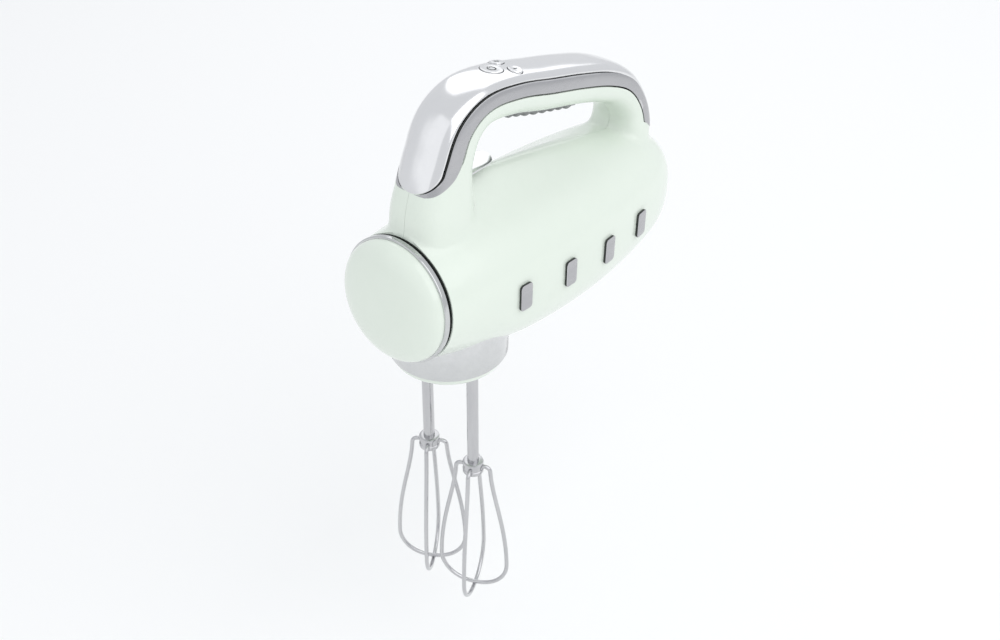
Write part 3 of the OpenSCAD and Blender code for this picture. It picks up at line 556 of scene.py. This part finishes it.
def stripTimes(steps):
    run = plate["last"] - plate["first"]
    return [plate["first"] + run * (0.5 - 0.5 * math.cos(math.pi * i / steps)) for i in range(steps + 1)]


def bandTop(t):
    return math.acos(min(1, ((plateLimit(t) + plate["gap"]) / along(t)[3]) ** (handleSquare / 2)))


def bandFoot(t):
    edge = outerUp(t, plateLimit(t) + plate["gap"])
    return math.asin(max(0.02, (edge - taper(t, 1.5) * trim["drop"]) / along(t)[2]) ** (handleSquare / 2))


def trimPath(t):  # bands up each side, then the tray the plate lies in, closed underneath
    foot, top, rim = bandFoot(t), bandTop(t), plateLimit(t) + plate["gap"]
    band = [skinPoint(t, w, 0) for w in np.linspace(foot, top, 12)]
    across = rim * np.cos(np.linspace(0, math.pi, 25))
    tray = [handlePoint(t, y, outerUp(t, y) - trim["tray"]) for y in across]
    mirrored = [[x, -y, z] for x, y, z in band[::-1]]
    trayFoot = outerUp(t, rim) - trim["tray"] - trim["thick"]
    bandLow = along(t)[2] * math.sin(foot) ** (2 / handleSquare) - 0.05
    inner = along(t)[3] * math.cos(foot) ** (2 / handleSquare) - trim["thick"]
    under = [handlePoint(t, y, min(trayFoot, bandLow)) for y in (-inner, 0, inner)]
    return band + tray + mirrored + under


def stripRing(t, extra, top, bottom, edge):
    limit = plateLimit(t) + extra
    upper, lower = [], []
    for f in np.linspace(1, -1, 41):
        y = limit * math.sin(f * math.pi / 2)
        q = max(0, (abs(y) - (limit - edge)) / edge) if edge else 0
        upper.append(handlePoint(t, y, outerUp(t, y) - top - edge * (1 - math.sqrt(max(0, 1 - q * q)))))
    for y in np.linspace(-limit, limit, 13):
        lower.append(handlePoint(t, y, outerUp(t, y) - bottom))
    return upper + lower


# Shell: casing and handle grown together with soft blends, then opened for everything it holds
shell = casingForm("casingForm", 0, casing["rows"], casing["around"], -0.02)
handle = handleForm("handleForm", 0, 150, 72)
casingTree = BVHTree.FromObject(shell, bpy.context.evaluated_depsgraph_get())
handleTree = BVHTree.FromObject(handle, bpy.context.evaluated_depsgraph_get())
combine(shell, handle, "UNION")
modify(shell, "REMESH", mode="VOXEL", voxel_size=casing["voxel"] * mm)
modify(shell, "SMOOTH", factor=0.5, iterations=8)
blendZone = shell.vertex_groups.new(name="blendZone")
reach = casing["blendReach"] * mm
for vertex in shell.data.vertices:
    far = max(casingTree.find_nearest(vertex.co)[3], handleTree.find_nearest(vertex.co)[3])
    if far < reach:
        blendZone.add([vertex.index], 1 - (far / reach) ** 2, "REPLACE")
modify(shell, "SMOOTH", factor=0.5, iterations=casing["blendPasses"], vertex_group="blendZone")
shell.vertex_groups.clear()
print("casing grown", len(shell.data.polygons))

combine(shell, casingForm("hollow", casing["wall"], 40, 64, 0.012))
combine(shell, handleForm("handleHollow", casing["wall"], 60, 32))
combine(shell, plug("noseCut", 90, 0, 60, noseCentre, noseAxis, 64))
combine(shell, plug("noseHole", ringRadius - casing["wall"], -4, 20, noseCentre, noseAxis, 128))
snug = casing["snug"]
combine(shell, plug("collarHole", collarRadius + snug, collarLow - 20, collarTop + snug, steps=128))
heelZ = midZ - casing["heelDrop"]
combine(shell, plug("heelHole", casing["heelRadius"] + snug, -5, 3.4, (tailX, 0, heelZ), (1, 0, 0), 96))
glandX = (span("cord_gland")[0].x + span("cord_gland")[1].x) / 2
glandRadius = span("cord_gland")[1].y
combine(shell, plug("glandHole", glandRadius + snug, -20, 30, (glandX, 0, 0)))
leverShape = {"pinX": 12.0, "pinRise": 67.0, "length": 46.0, "thick": 1.1, "tipThin": 0.25, "tipRun": 1.6,
              "dish": 0.55, "dishAt": 9.0, "dishReach": 6.0, "barrel": 4.0, "pinHole": 2.05, "cut": 2.6}
leverSlot = {"reach": 38.0, "sideRoom": 0.4, "below": 7.0, "above": 2.5}
leverX, leverZ, leverHalf = leverShape["pinX"], motorZ + leverShape["pinRise"], span("eject_lever")[1].y
slotHalf = leverHalf + leverSlot["sideRoom"]
combine(shell, block("leverSlot", (leverX - leverSlot["reach"], -slotHalf, leverZ - leverSlot["below"]),
                     (leverX, slotHalf, leverZ + leverSlot["above"])))


def roomRing(t):
    foot = bandFoot(t) - math.radians(trim["roomAngle"])
    return [skinPoint(t, w, -trim["roomOut"]) for w in np.linspace(foot, math.pi - foot, 30)]


combine(shell, rolled("trimRoom", [roomRing(t) for t in stripTimes(trim["steps"])]))
for way, name, node in ((1, "leftShell", "left_shell"), (-1, "rightShell", "right_shell")):
    half = copyOf(shell, name)
    near, far = casing["seam"] * way, 80 * way
    combine(half, block("halfSpace", (-260, min(near, far), -60), (120, max(near, far), 260)), "INTERSECT")
    finishPiece(half, "housing", materials["mint_plastic"], "mint_plastic", node, angle=38)
bpy.data.objects.remove(shell)
print("shells made")

# ---- handle trim ----

plateTimes = stripTimes(plate["steps"])
topPlate = rolled("topPlate", [stripRing(t, 0, 0, plate["thick"], plate["edge"]) for t in plateTimes])
sealReach = plate["gap"] - seal["short"]
sealStrip = rolled("handleSealStrip",
                   [stripRing(t, sealReach, seal["top"], seal["bottom"], 0) for t in plateTimes])
sideTrim = rolled("sideTrim", [trimPath(t) for t in stripTimes(trim["steps"])])
# Each button's place along the handle, its distance across it and its radius
buttonSizes = {"power": (5.66, 0, 6.4), "minus": (6.08, 6.6, 4.2), "plus": (6.08, -6.6, 4.2)}
buttonFit = {"gap": 0.4, "underGap": 1.4, "proud": 0.5, "height": 6.0, "rim": 0.45, "dish": 0.18,
             "dishEdge": 0.85, "inlay": 0.3, "inlayProud": 0.09}


def buttonPlace(t, across):
    way = heading(t)
    return handlePoint(t, across, outerUp(t, 0)), (way[1], 0, -way[0])


for t, across, radius in buttonSizes.values():
    centre, axis = buttonPlace(t, across)
    for piece in (topPlate, sealStrip, sideTrim):
        room = buttonFit["gap"] if piece == topPlate else buttonFit["underGap"]
        combine(piece, plug("hole", radius + room, -20, 10, centre, axis, 72))
bevelled(sideTrim, 0.15, 2, 50)
modify(topPlate, "WEIGHTED_NORMAL", mode="FACE_AREA", weight=80, keep_sharp=True)
finishPiece(topPlate, "housing", materials["chrome_trim"], "chrome_trim", "handle_top")
finishPiece(sealStrip, "housing", materials["dark_seal"], "dark_seal", "handle_seal")
finishPiece(sideTrim, "housing", satinChrome, "chrome_trim", "handle_trim")


def bar(name, length, width, low, high):  # an inlaid stroke lying along X
    piece = block(name, (-length / 2, -width / 2, low), (length / 2, width / 2, high))
    bevelled(piece, min(width, length) * 0.3, 2)
    return piece


markShares = {"ringIn": 0.30, "ringOut": 0.42, "notch": 0.14, "stem": 0.4, "stemWidth": 0.11, "stemAt": 0.34,
              "stroke": 0.9, "strokeWidth": 0.22}


def strokes(name, radius, low, high):
    share = {label: radius * value for label, value in markShares.items()}
    if name == "power":
        ring = turned("ringMark", [(share["ringIn"], low), (share["ringOut"], low), (share["ringOut"], high),
                                   (share["ringIn"], high)], steps=48)
        combine(ring, block("notch", (0, -share["notch"], low - 1), (radius, share["notch"], high + 1)))
        stem = bar("stemMark", share["stem"], share["stemWidth"], low, high)
        stem.data.transform(Matrix.Translation((share["stemAt"] * mm, 0, 0)))
        return [ring, stem]
    pieces = [bar("across", share["strokeWidth"], share["stroke"], low, high)]
    if name == "plus":
        pieces.append(bar("down", share["stroke"], share["strokeWidth"], low, high))
    return pieces


def drape(piece, t, across, axis):  # bends a button's top to the plate's crown
    start = outerUp(t, across)
    for vertex in piece.data.vertices:
        height = (vertex.co - Vector(placed(buttonPlace(t, across)[0]))).dot(Vector(axis)) / mm
        if height > -3:
            vertex.co += Vector(axis) * (outerUp(t, vertex.co.y / mm) - start) * mm


for name, (t, across, radius) in buttonSizes.items():
    centre, axis = buttonPlace(t, across)
    high, rim, dish = buttonFit["proud"], buttonFit["rim"], buttonFit["dish"]
    low = high - buttonFit["height"]
    profile = [(0, low), (radius, low), (radius, high - rim)]
    profile += [(radius - rim + rim * math.cos(w), high - rim + rim * math.sin(w))
                for w in np.linspace(0.3, math.pi / 2, 5)]
    profile += [(radius * f, high - dish * (1 - (f / buttonFit["dishEdge"]) ** 2))
                for f in (0.85, 0.6, 0.35, 0.15)]
    profile += [(0, high - dish)]
    cap = turned(name + "Cap", profile, centre, axis, 72)
    marks = strokes(name, radius, high - dish - buttonFit["inlay"], high - dish + buttonFit["inlayProud"])
    turn = Vector(axis).to_track_quat("Z", "Y").to_matrix().to_4x4()
    for mark in marks:
        mark.data.transform(Matrix.Translation(-origin))
        mark.data.transform(Matrix.Translation(placed(centre)) @ turn)
    for piece in [cap] + marks:
        drape(piece, t, across, axis)
        piece.data.materials.clear()
        piece.data.materials.append(materials["chrome_trim"])
        piece.data.materials.append(materials["dark_seal"])
    for mark in marks:
        mark.data.polygons.foreach_set("material_index", [1] * len(mark.data.polygons))
    button = joined([cap] + marks, name + "Button")
    pick(button)
    bpy.ops.object.shade_smooth_by_angle(angle=math.radians(30))
    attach(button, name + "_button")
    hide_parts(name + "_button")
print("handle trim and buttons made")

# Rubber pad with rounded ribs
pad = {"middle": 7.15, "reach": 66 / 56, "width": 17.0, "base": 1.5, "ribs": 8, "ribHeight": 2.0,
       "ribRadius": 2.3, "endRun": 2.5, "endWidth": 0.82, "bury": 0.25, "steps": 220}
padStart = pad["middle"] - pad["reach"]
padTimes = [padStart + 2 * pad["reach"] * i / pad["steps"] for i in range(pad["steps"] + 1)]
padLength = [0.0]
for before, after in zip(padTimes, padTimes[1:]):
    padLength.append(padLength[-1] + math.dist(along(before)[:2], along(after)[:2]))


def padRing(index):
    t, run, total, end = padTimes[index], padLength[index], padLength[-1], pad["endRun"]
    pitch = (total - 2 * end) / pad["ribs"]
    offset = abs((run - end) % pitch - pitch / 2) if end < run < total - end else pitch
    rib = pad["ribHeight"] * math.sqrt(max(0, 1 - (offset / pad["ribRadius"]) ** 2))
    ends = math.sqrt(max(0.0, min(1, (run + 0.05) / end, (total + 0.05 - run) / end)))
    half = pad["width"] / 2 * (pad["endWidth"] + (1 - pad["endWidth"]) * ends)
    ring = []
    for f in np.linspace(-1, 1, 33):
        roundOff = max(0, 1 - abs(f) ** 6) ** 0.5
        ribRound = max(0, 1 - (abs(f) / 0.8) ** 8) ** 0.5 if abs(f) < 0.8 else 0
        up = -outerUp(t, f * half) - roundOff * ends * pad["base"] - rib * ribRound
        ring.append(handlePoint(t, f * half, up))
    for f in np.linspace(1, -1, 9):
        ring.append(handlePoint(t, f * half, -outerUp(t, f * half) + pad["bury"]))
    return ring


gripPad = rolled("gripPad", [padRing(i) for i in range(pad["steps"] + 1)])
finishPiece(gripPad, "housing", materials["soft_rubber"], "soft_rubber", "grip_pad", angle=50)

# ---- nose, neck, heel ----

nose = {"ringStand": 1.3, "ringEdge": 0.7, "ringChamfer": 0.2, "sealInner": 31.6, "sealOuter": 34.5,
        "lipIn": 0.6}
neckBand = {"collarThick": 1.15, "inset": 1.2, "floor": 3.0, "holeRoom": 0.6}
domeRadius = ringRadius - nose["ringStand"]
quarter = np.linspace(0, math.pi / 2, 30)


def domeLine(radius, height, base):
    return [(radius * math.sin(w) ** 0.85, base + height * math.cos(w) ** 0.9) for w in quarter]


wall, groove = casing["wall"], casing["groove"]
ringFront, domeRise = groove + casing["ringWidth"], casing["domeHeight"] - casing["ringWidth"]
outside = domeLine(domeRadius, domeRise, ringFront)
inside = domeLine(domeRadius - wall, domeRise - wall, ringFront)
domeFoot = [(domeRadius, groove), (domeRadius - wall, groove)]
dome = turned("noseDome", outside + domeFoot + inside[::-1], noseCentre, noseAxis, 160)
finishPiece(dome, "housing", materials["mint_plastic"], "mint_plastic", "nose_cap")

ringEdge, ringIn = nose["ringEdge"], domeRadius + snug
chamfer = nose["ringChamfer"]
ringLine = [(ringIn, groove), (ringRadius - chamfer, groove), (ringRadius, groove + chamfer)]
ringLine += [(ringRadius - ringEdge + ringEdge * math.cos(w), ringFront - ringEdge + ringEdge * math.sin(w))
             for w in np.linspace(0, math.pi / 2, 7)]
noseRing = turned("noseRing", ringLine + [(ringIn, ringFront)], noseCentre, noseAxis, 160)
finishPiece(noseRing, "housing", collarChromeWithPaintedShade, "chrome_trim", "nose_ring")

sealIn, sealOut, lip = nose["sealInner"], nose["sealOuter"], ringRadius - nose["lipIn"]
grooveLine = [(sealIn, -2), (sealOut, -2), (sealOut, 0.05), (lip, 0.05), (lip, 0.6), (sealOut, 0.75),
              (sealOut - 0.3, 2.3), (sealIn, 2.3)]
grooveSeal = turned("noseGroove", grooveLine, noseCentre, noseAxis, 128)
finishPiece(grooveSeal, "housing", materials["dark_seal"], "dark_seal", "nose_seal")

collarIn = collarRadius - neckBand["collarThick"]
collarLine = [(collarIn, collarLow), (collarRadius - 0.35, collarLow), (collarRadius - 0.1, collarLow + 0.1),
              (collarRadius, collarLow + 0.35), (collarRadius, collarTop), (collarIn, collarTop)]
collar = turned("collarBand", collarLine, steps=160)
finishPiece(collar, "housing", collarChromeWithPaintedShade, "chrome_trim", "collar_ring")

stemRadius = span("left_stem")[1].x
stemOffset = (Vector(joints["left_spindle_spin"]["pos_m"]) - origin).y / mm
neckRadius, neckTop = collarRadius - neckBand["inset"], span("neck")[1].z
neckHollow = neckRadius - wall
neckRound = [(3.2, 0), (2.2, 0.25), (1.4, 0.8), (0.7, 1.8), (0.2, 3.2), (0, 4.6)]  # in from the side, then up
neckLine = [(0, 0)] + [(neckRadius - inset, z) for inset, z in neckRound]
neckLine += [(neckRadius, neckTop), (neckHollow, neckTop), (neckHollow, neckBand["floor"]),
             (0, neckBand["floor"])]
neck = turned("neckCup", neckLine, steps=160)
stemHole = stemRadius + neckBand["holeRoom"]
holeLine = [(0, -1), (stemHole + 1.6, -1), (stemHole + 0.6, 0), (stemHole, 0.6), (stemHole, 9), (0, 9)]
for way in (-1, 1):
    combine(neck, turned("stemHole", holeLine, (0, way * stemOffset, 0), steps=64))
finishPiece(neck, "housing", materials["mint_plastic"], "mint_plastic", "neck", angle=30)

heel = {"rim": 2.5, "corner": 0.6, "deep": 3.0, "padRoom": 0.05, "padDeep": 1.95,
        "treads": (4.0, 7.5, 11.0, 14.0)}
heelRadius = casing["heelRadius"]
heelIn, heelDeep = heelRadius - heel["rim"], heel["deep"]
heelLine = [(heelIn, 1), (heelIn, 0.1), (heelRadius - 2.2, 0), (heelRadius - heel["corner"], 0),
            (heelRadius, heel["corner"]), (heelRadius, heelDeep), (0, heelDeep), (0, 1)]
heelCover = turned("heelCover", heelLine, (tailX, 0, heelZ), (1, 0, 0), 96)
finishPiece(heelCover, "housing", materials["mint_plastic"], "mint_plastic", "heel_cover")
padRadius = heelIn - heel["padRoom"]
tread = [(0, 0)]
for r in heel["treads"]:
    tread += [(r - 0.7, 0), (r - 0.35, 0.45), (r + 0.35, 0.45), (r + 0.7, 0)]
tread += [(padRadius - 0.4, 0), (padRadius, 0.4), (padRadius, heel["padDeep"]), (0, heel["padDeep"])]
heelPad = turned("heelPad", tread, (tailX - 1, 0, heelZ), (1, 0, 0), 96)
finishPiece(heelPad, "housing", materials["soft_rubber"], "soft_rubber", "heel_pad")

gland = {"bore": 3.6, "lead": 0.4, "rings": 3, "first": 1.6, "pitch": 1.8, "cut": 0.8, "flange": 7.2,
         "height": 14.0}
glandLine = [(gland["bore"], gland["lead"]), (gland["bore"] + gland["lead"], 0)]
glandLine += [(glandRadius - 1, 0), (glandRadius - 0.3, 0.6)]
for k in range(gland["rings"]):
    z, cut = gland["first"] + gland["pitch"] * k, glandRadius - gland["cut"]
    glandLine += [(glandRadius, z - 0.6), (glandRadius, z), (cut, z + 0.3), (cut, z + 0.8)]
glandLine += [(glandRadius, gland["flange"]), (glandRadius, gland["height"]), (gland["bore"], gland["height"])]
cordGland = turned("cordGland", glandLine, (glandX, 0, 0), steps=72)
finishPiece(cordGland, "housing", materials["dark_seal"], "dark_seal", "cord_gland")
print("nose, neck and heel made")

# ---- flank bars ----

badge = {"width": 9.0, "height": 17.0, "thick": 1.6, "corner": 2.2, "out": 0.9,
         "spots": [(-17, 0), (-55, -3), (-92, -6.5), (-127, -6.5)]}


def flankY(u, z):
    top, low = cubic(topHeights, u), cubic(lowHeights, u)
    middle, height = (top + low) / 2, (top - low) / 2 * tailCap(u)
    fuller = casing["square"] * min(1, u / casing["squareBy"])
    exponent = 2 + (fuller if z < middle else casing["squareTop"] * fuller)
    inward = min(0.99, abs(z - middle) / height) ** exponent
    return cubic(halfWidths, u) * tailCap(u) * (1 - inward) ** (1 / exponent)


bars = []
for way in (-1, 1):
    for x, rise in badge["spots"]:
        u, z = (noseX - x) / casingLength, motorZ + rise
        y = flankY(u, z)
        flare = math.atan2(flankY(u + 0.02, z) - flankY(u - 0.02, z), casingLength * 0.04)
        leanIn = math.atan2(flankY(u, z - 5) - flankY(u, z + 5), 10)
        piece = block("bar", (-badge["width"] / 2, -badge["thick"] / 2, -badge["height"] / 2),
                      (badge["width"] / 2, badge["thick"] / 2, badge["height"] / 2))
        edit(piece)
        bpy.ops.mesh.select_all(action="DESELECT")
        bpy.ops.object.mode_set(mode="OBJECT")
        for line in piece.data.edges:  # the four edges through the bar's thickness
            ends = [piece.data.vertices[i].co for i in line.vertices]
            line.select = abs(ends[0].y - ends[1].y) > 1e-4
        bpy.ops.object.mode_set(mode="EDIT")
        bpy.ops.mesh.select_mode(type="EDGE")
        bpy.ops.mesh.bevel(offset=badge["corner"] * mm, segments=8)
        bpy.ops.object.mode_set(mode="OBJECT")
        bevelled(piece, 0.3, 3, 50)
        piece.data.transform(Matrix.Translation(-origin))
        turn = Matrix.Rotation(-way * flare, 4, "Z") @ Matrix.Rotation(way * leanIn, 4, "X")
        shift = Matrix.Translation((0, way * badge["out"] * mm, 0))
        piece.data.transform(Matrix.Translation(placed((x, way * y, z))) @ turn @ shift)
        bars.append(piece)
flankBars = joined(bars, "flankBars")
# The second finish, dark seal, goes on the bars' side faces: painted shade standing in for the dark look of the
# chrome sides.
finishPiece(flankBars, "housing", [satinChrome, materials["dark_seal"]], "chrome_trim", "flank_badges")
paintedShadeSides = [1 if abs(face.normal.y) < 0.6 else 0 for face in flankBars.data.polygons]
flankBars.data.polygons.foreach_set("material_index", paintedShadeSides)

# ---- eject lever ----

tongue, ringTurn = [], np.linspace(0, 2 * math.pi, 40, endpoint=False)
for f in np.linspace(0, 1, 60):
    x = leverX - leverShape["length"] * (1 - f)
    run = leverShape["length"] * f  # from the tip
    width = leverHalf * math.sqrt(max(0.0008, 1 - (1 - min(1, run / leverHalf)) ** 2))
    tipShare = leverShape["tipThin"] + math.sqrt(min(1, run / leverShape["tipRun"]))
    thick = leverShape["thick"] * min(1, tipShare)
    dish = leverShape["dish"] * math.exp(-((run - leverShape["dishAt"]) / leverShape["dishReach"]) ** 2)
    y = width * powered(np.cos(ringTurn), 0.5)
    hollow = np.where(np.sin(ringTurn) > 0, dish * (1 - (y / leverHalf) ** 2), 0)
    z = thick * powered(np.sin(ringTurn), 0.8) - hollow
    tongue.append(np.stack([np.full(len(ringTurn), x), y, leverZ + z], 1))
lever = rolled("tongue", tongue)
barrelOut, pinHole = leverShape["barrel"], leverShape["pinHole"]
barrelLine = [(pinHole, -leverHalf), (barrelOut, -leverHalf), (barrelOut, leverHalf), (pinHole, leverHalf)]
barrel = turned("barrel", barrelLine, (leverX, 0, leverZ), (0, 1, 0), 48)
combine(lever, plug("bore", leverShape["cut"], -20, 20, (leverX, 0, leverZ), (0, 1, 0), 48))
combine(lever, barrel, "UNION")
lever.name = lever.data.name = "ejectLever"
finishPiece(lever, "lever", materials["chrome_trim"], "chrome_trim", "eject_lever")
print("lever made")

# ---- beaters ----

beater = {"hubRadius": 6.4, "hubHeight": 9.0, "stemDrop": 75.0, "wire": 2.6, "wireRoom": 0.03, "loopRadius": 21.8,
          "loopHeight": 106.0, "leftTurn": 24.0, "rightTurn": 32.0, "sides": 14, "stemWall": 0.9}
stemTop = span("left_stem")[1].z
hubTop = -beater["stemDrop"]
hubLow = hubTop - beater["hubHeight"]
wireZ = hubTop - beater["hubHeight"] * 0.42
wireBite = beater["hubRadius"] - 1.9
outerLow = wireZ - beater["loopHeight"]
innerLow = outerLow + beater["wire"] + 0.15


def loopHalf(low):
    knee, out, foot = 3.6, beater["loopRadius"] * 0.5, low + beater["loopRadius"] * 0.98
    wide = beater["loopRadius"]
    points = [(wireBite + 0.1, wireZ), (beater["hubRadius"] + 0.5, wireZ)]
    points += [(out - knee + knee * math.cos(w), wireZ - knee + knee * math.sin(w))
               for w in np.radians(np.arange(90, -1, -9))]
    flare, drop = [out, out + 1.4, wide - 0.4, wide], [wireZ - knee, wireZ - 26, foot + 34, foot]
    points += [(cubic(flare, f), cubic(drop, f)) for f in np.linspace(0.05, 0.95, 22)]
    points += [(wide * math.cos(w) ** 0.92, foot + (foot - low) * math.sin(w))
               for w in np.radians(np.arange(0, -87, -4))]
    return points


def wireLoop(name, low, turn, way):
    half = loopHalf(low)
    path = np.array(half + [(0, low)] + [(-r, z) for r, z in half[::-1]])
    rings = []
    for i, (r, z) in enumerate(path):
        run = path[min(len(path) - 1, i + 1)] - path[max(0, i - 1)]
        run = run / np.linalg.norm(run)
        w = np.linspace(0, 2 * math.pi, beater["sides"], endpoint=False)
        radial = r - run[1] * np.cos(w) * beater["wire"] / 2
        tangent = np.sin(w) * beater["wire"] / 2
        height = z + run[0] * np.cos(w) * beater["wire"] / 2
        c, s = math.cos(math.radians(turn)), math.sin(math.radians(turn))
        across = radial * s + tangent * c + way * stemOffset
        rings.append(np.stack([radial * c - tangent * s, across, height], 1))
    return rolled(name, rings)


for name, way, turn in (("left", 1, beater["leftTurn"]), ("right", -1, beater["rightTurn"])):
    beaterBody = name + "_beater"
    centre = (0, way * stemOffset, 0)
    stemLow, stemIn = hubTop - beater["hubHeight"] * 0.8, stemRadius - beater["stemWall"]
    stemLine = [(0, stemLow), (stemRadius, stemLow), (stemRadius, stemTop - 0.9), (stemRadius - 0.7, stemTop),
                (stemIn, stemTop), (stemIn, 0), (0, 0)]
    stem = turned(name + "Stem", stemLine, centre, steps=64)
    finishPiece(stem, beaterBody, materials["beater_steel"], "beater_steel", name + "_stem")
    r, seat = beater["hubRadius"], stemRadius + beater["wireRoom"]
    hubLine = [(0, hubLow), (r - 1.1, hubLow), (r - 0.35, hubLow + 0.35), (r, hubLow + 1.1), (r, hubLow + 3.0),
               (r - 0.35, hubLow + 3.3), (r - 0.35, hubTop - 2.4), (r, hubTop - 2.1), (r, hubTop - 0.9),
               (r - 0.3, hubTop - 0.3), (r - 0.9, hubTop), (seat, hubTop), (seat, stemLow - 0.05),
               (0, stemLow - 0.05)]
    hub = turned(name + "Hub", hubLine, centre, steps=72)
    holeRadius = beater["wire"] / 2 + beater["wireRoom"]
    for k in range(4):
        w = math.radians(turn + 90 * k)
        out = (math.cos(w), math.sin(w), 0)
        combine(hub, plug("wireHole", holeRadius, wireBite, 12, (0, way * stemOffset, wireZ), out, 20))
    finishPiece(hub, beaterBody, materials["beater_steel"], "beater_steel", name + "_hub", angle=30)
    for kind, low, extra in (("Outer", outerLow, 0), ("Inner", innerLow, 90)):
        loop = wireLoop(name + kind + "Loop", low, turn + extra, way)
        node = name + "_" + kind.lower() + "_loop"
        finishPiece(loop, beaterBody, materials["beater_steel"], "beater_steel", node, angle=60)
print("beaters made")

# ---- carried-over parts ----

slotOf = {part["node"]: part["material_slot"] for part in frame["record"]["subparts"]}
for node, piece in frame["nodes"].items():
    piece.data.materials.clear()
    piece.data.materials.append(materials[slotOf[node]])
    piece.data.polygons.foreach_set("material_index", [0] * len(piece.data.polygons))

# ---- floor, light, camera ----

# low enough for the beaters to drop out of their spindles
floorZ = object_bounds()[0].z - joints["left_beater_slide"]["range_m"][1] - 0.002
deselectAll()
bpy.ops.mesh.primitive_plane_add(size=8, location=(0, 0, floorZ))
floor = bpy.context.object
floor.name = "floor"
paper = bpy.data.materials.new("palePaper")
paper.use_nodes = True
paperShader = paper.node_tree.nodes["Principled BSDF"]
paperShader.inputs["Base Color"].default_value = (0.93, 0.93, 0.925, 1)
paperShader.inputs["Roughness"].default_value = 0.85
floor.data.materials.append(paper)

world = bpy.data.worlds.new("studio")
bpy.context.scene.world = world
world.use_nodes = True
world.node_tree.nodes["Background"].inputs["Color"].default_value = (0.95, 0.97, 1.0, 1)
world.node_tree.nodes["Background"].inputs["Strength"].default_value = 0.82

lights = {
    "keyBox": {"place": (0.0, 1.3, 1.2), "aim": (-0.02, 0, -0.12), "size": 2.2, "power": 14.0},
    "fillBox": {"place": (1.5, -0.3, 0.9), "aim": (0, 0, -0.12), "size": 1.8, "power": 2.5},
    "backBox": {"place": (-1.2, -0.8, 1.1), "aim": (0, 0, -0.1), "size": 1.6, "power": 5.0},
}
for name, light in lights.items():
    bpy.ops.object.light_add(type="AREA", location=light["place"])
    lamp = bpy.context.object
    lamp.name = name
    lamp.data.energy, lamp.data.size = light["power"], light["size"]
    lamp.rotation_euler = (Vector(light["aim"]) - Vector(light["place"])).to_track_quat("-Z", "Y").to_euler()

camera = {"lens": 50.4, "sensor": 36.0, "place": (0.5453, 0.4336, 0.3591), "azimuth": 40.35, "elevation": 36.85,
          "shiftX": 0.01}
bpy.ops.object.camera_add(location=camera["place"])
view = bpy.context.object
around, rise = math.radians(camera["azimuth"]), math.radians(camera["elevation"])
back = Vector((math.cos(rise) * math.cos(around), math.cos(rise) * math.sin(around), math.sin(rise)))
view.rotation_euler = (-back).to_track_quat("-Z", "Y").to_euler()
view.data.lens, view.data.sensor_width = camera["lens"], camera["sensor"]
view.data.shift_x = camera["shiftX"]
view.data.clip_start, view.data.clip_end = 0.01, 20
bpy.context.scene.camera = view
bpy.context.scene.view_settings.view_transform = "Standard"

print("scene ready")
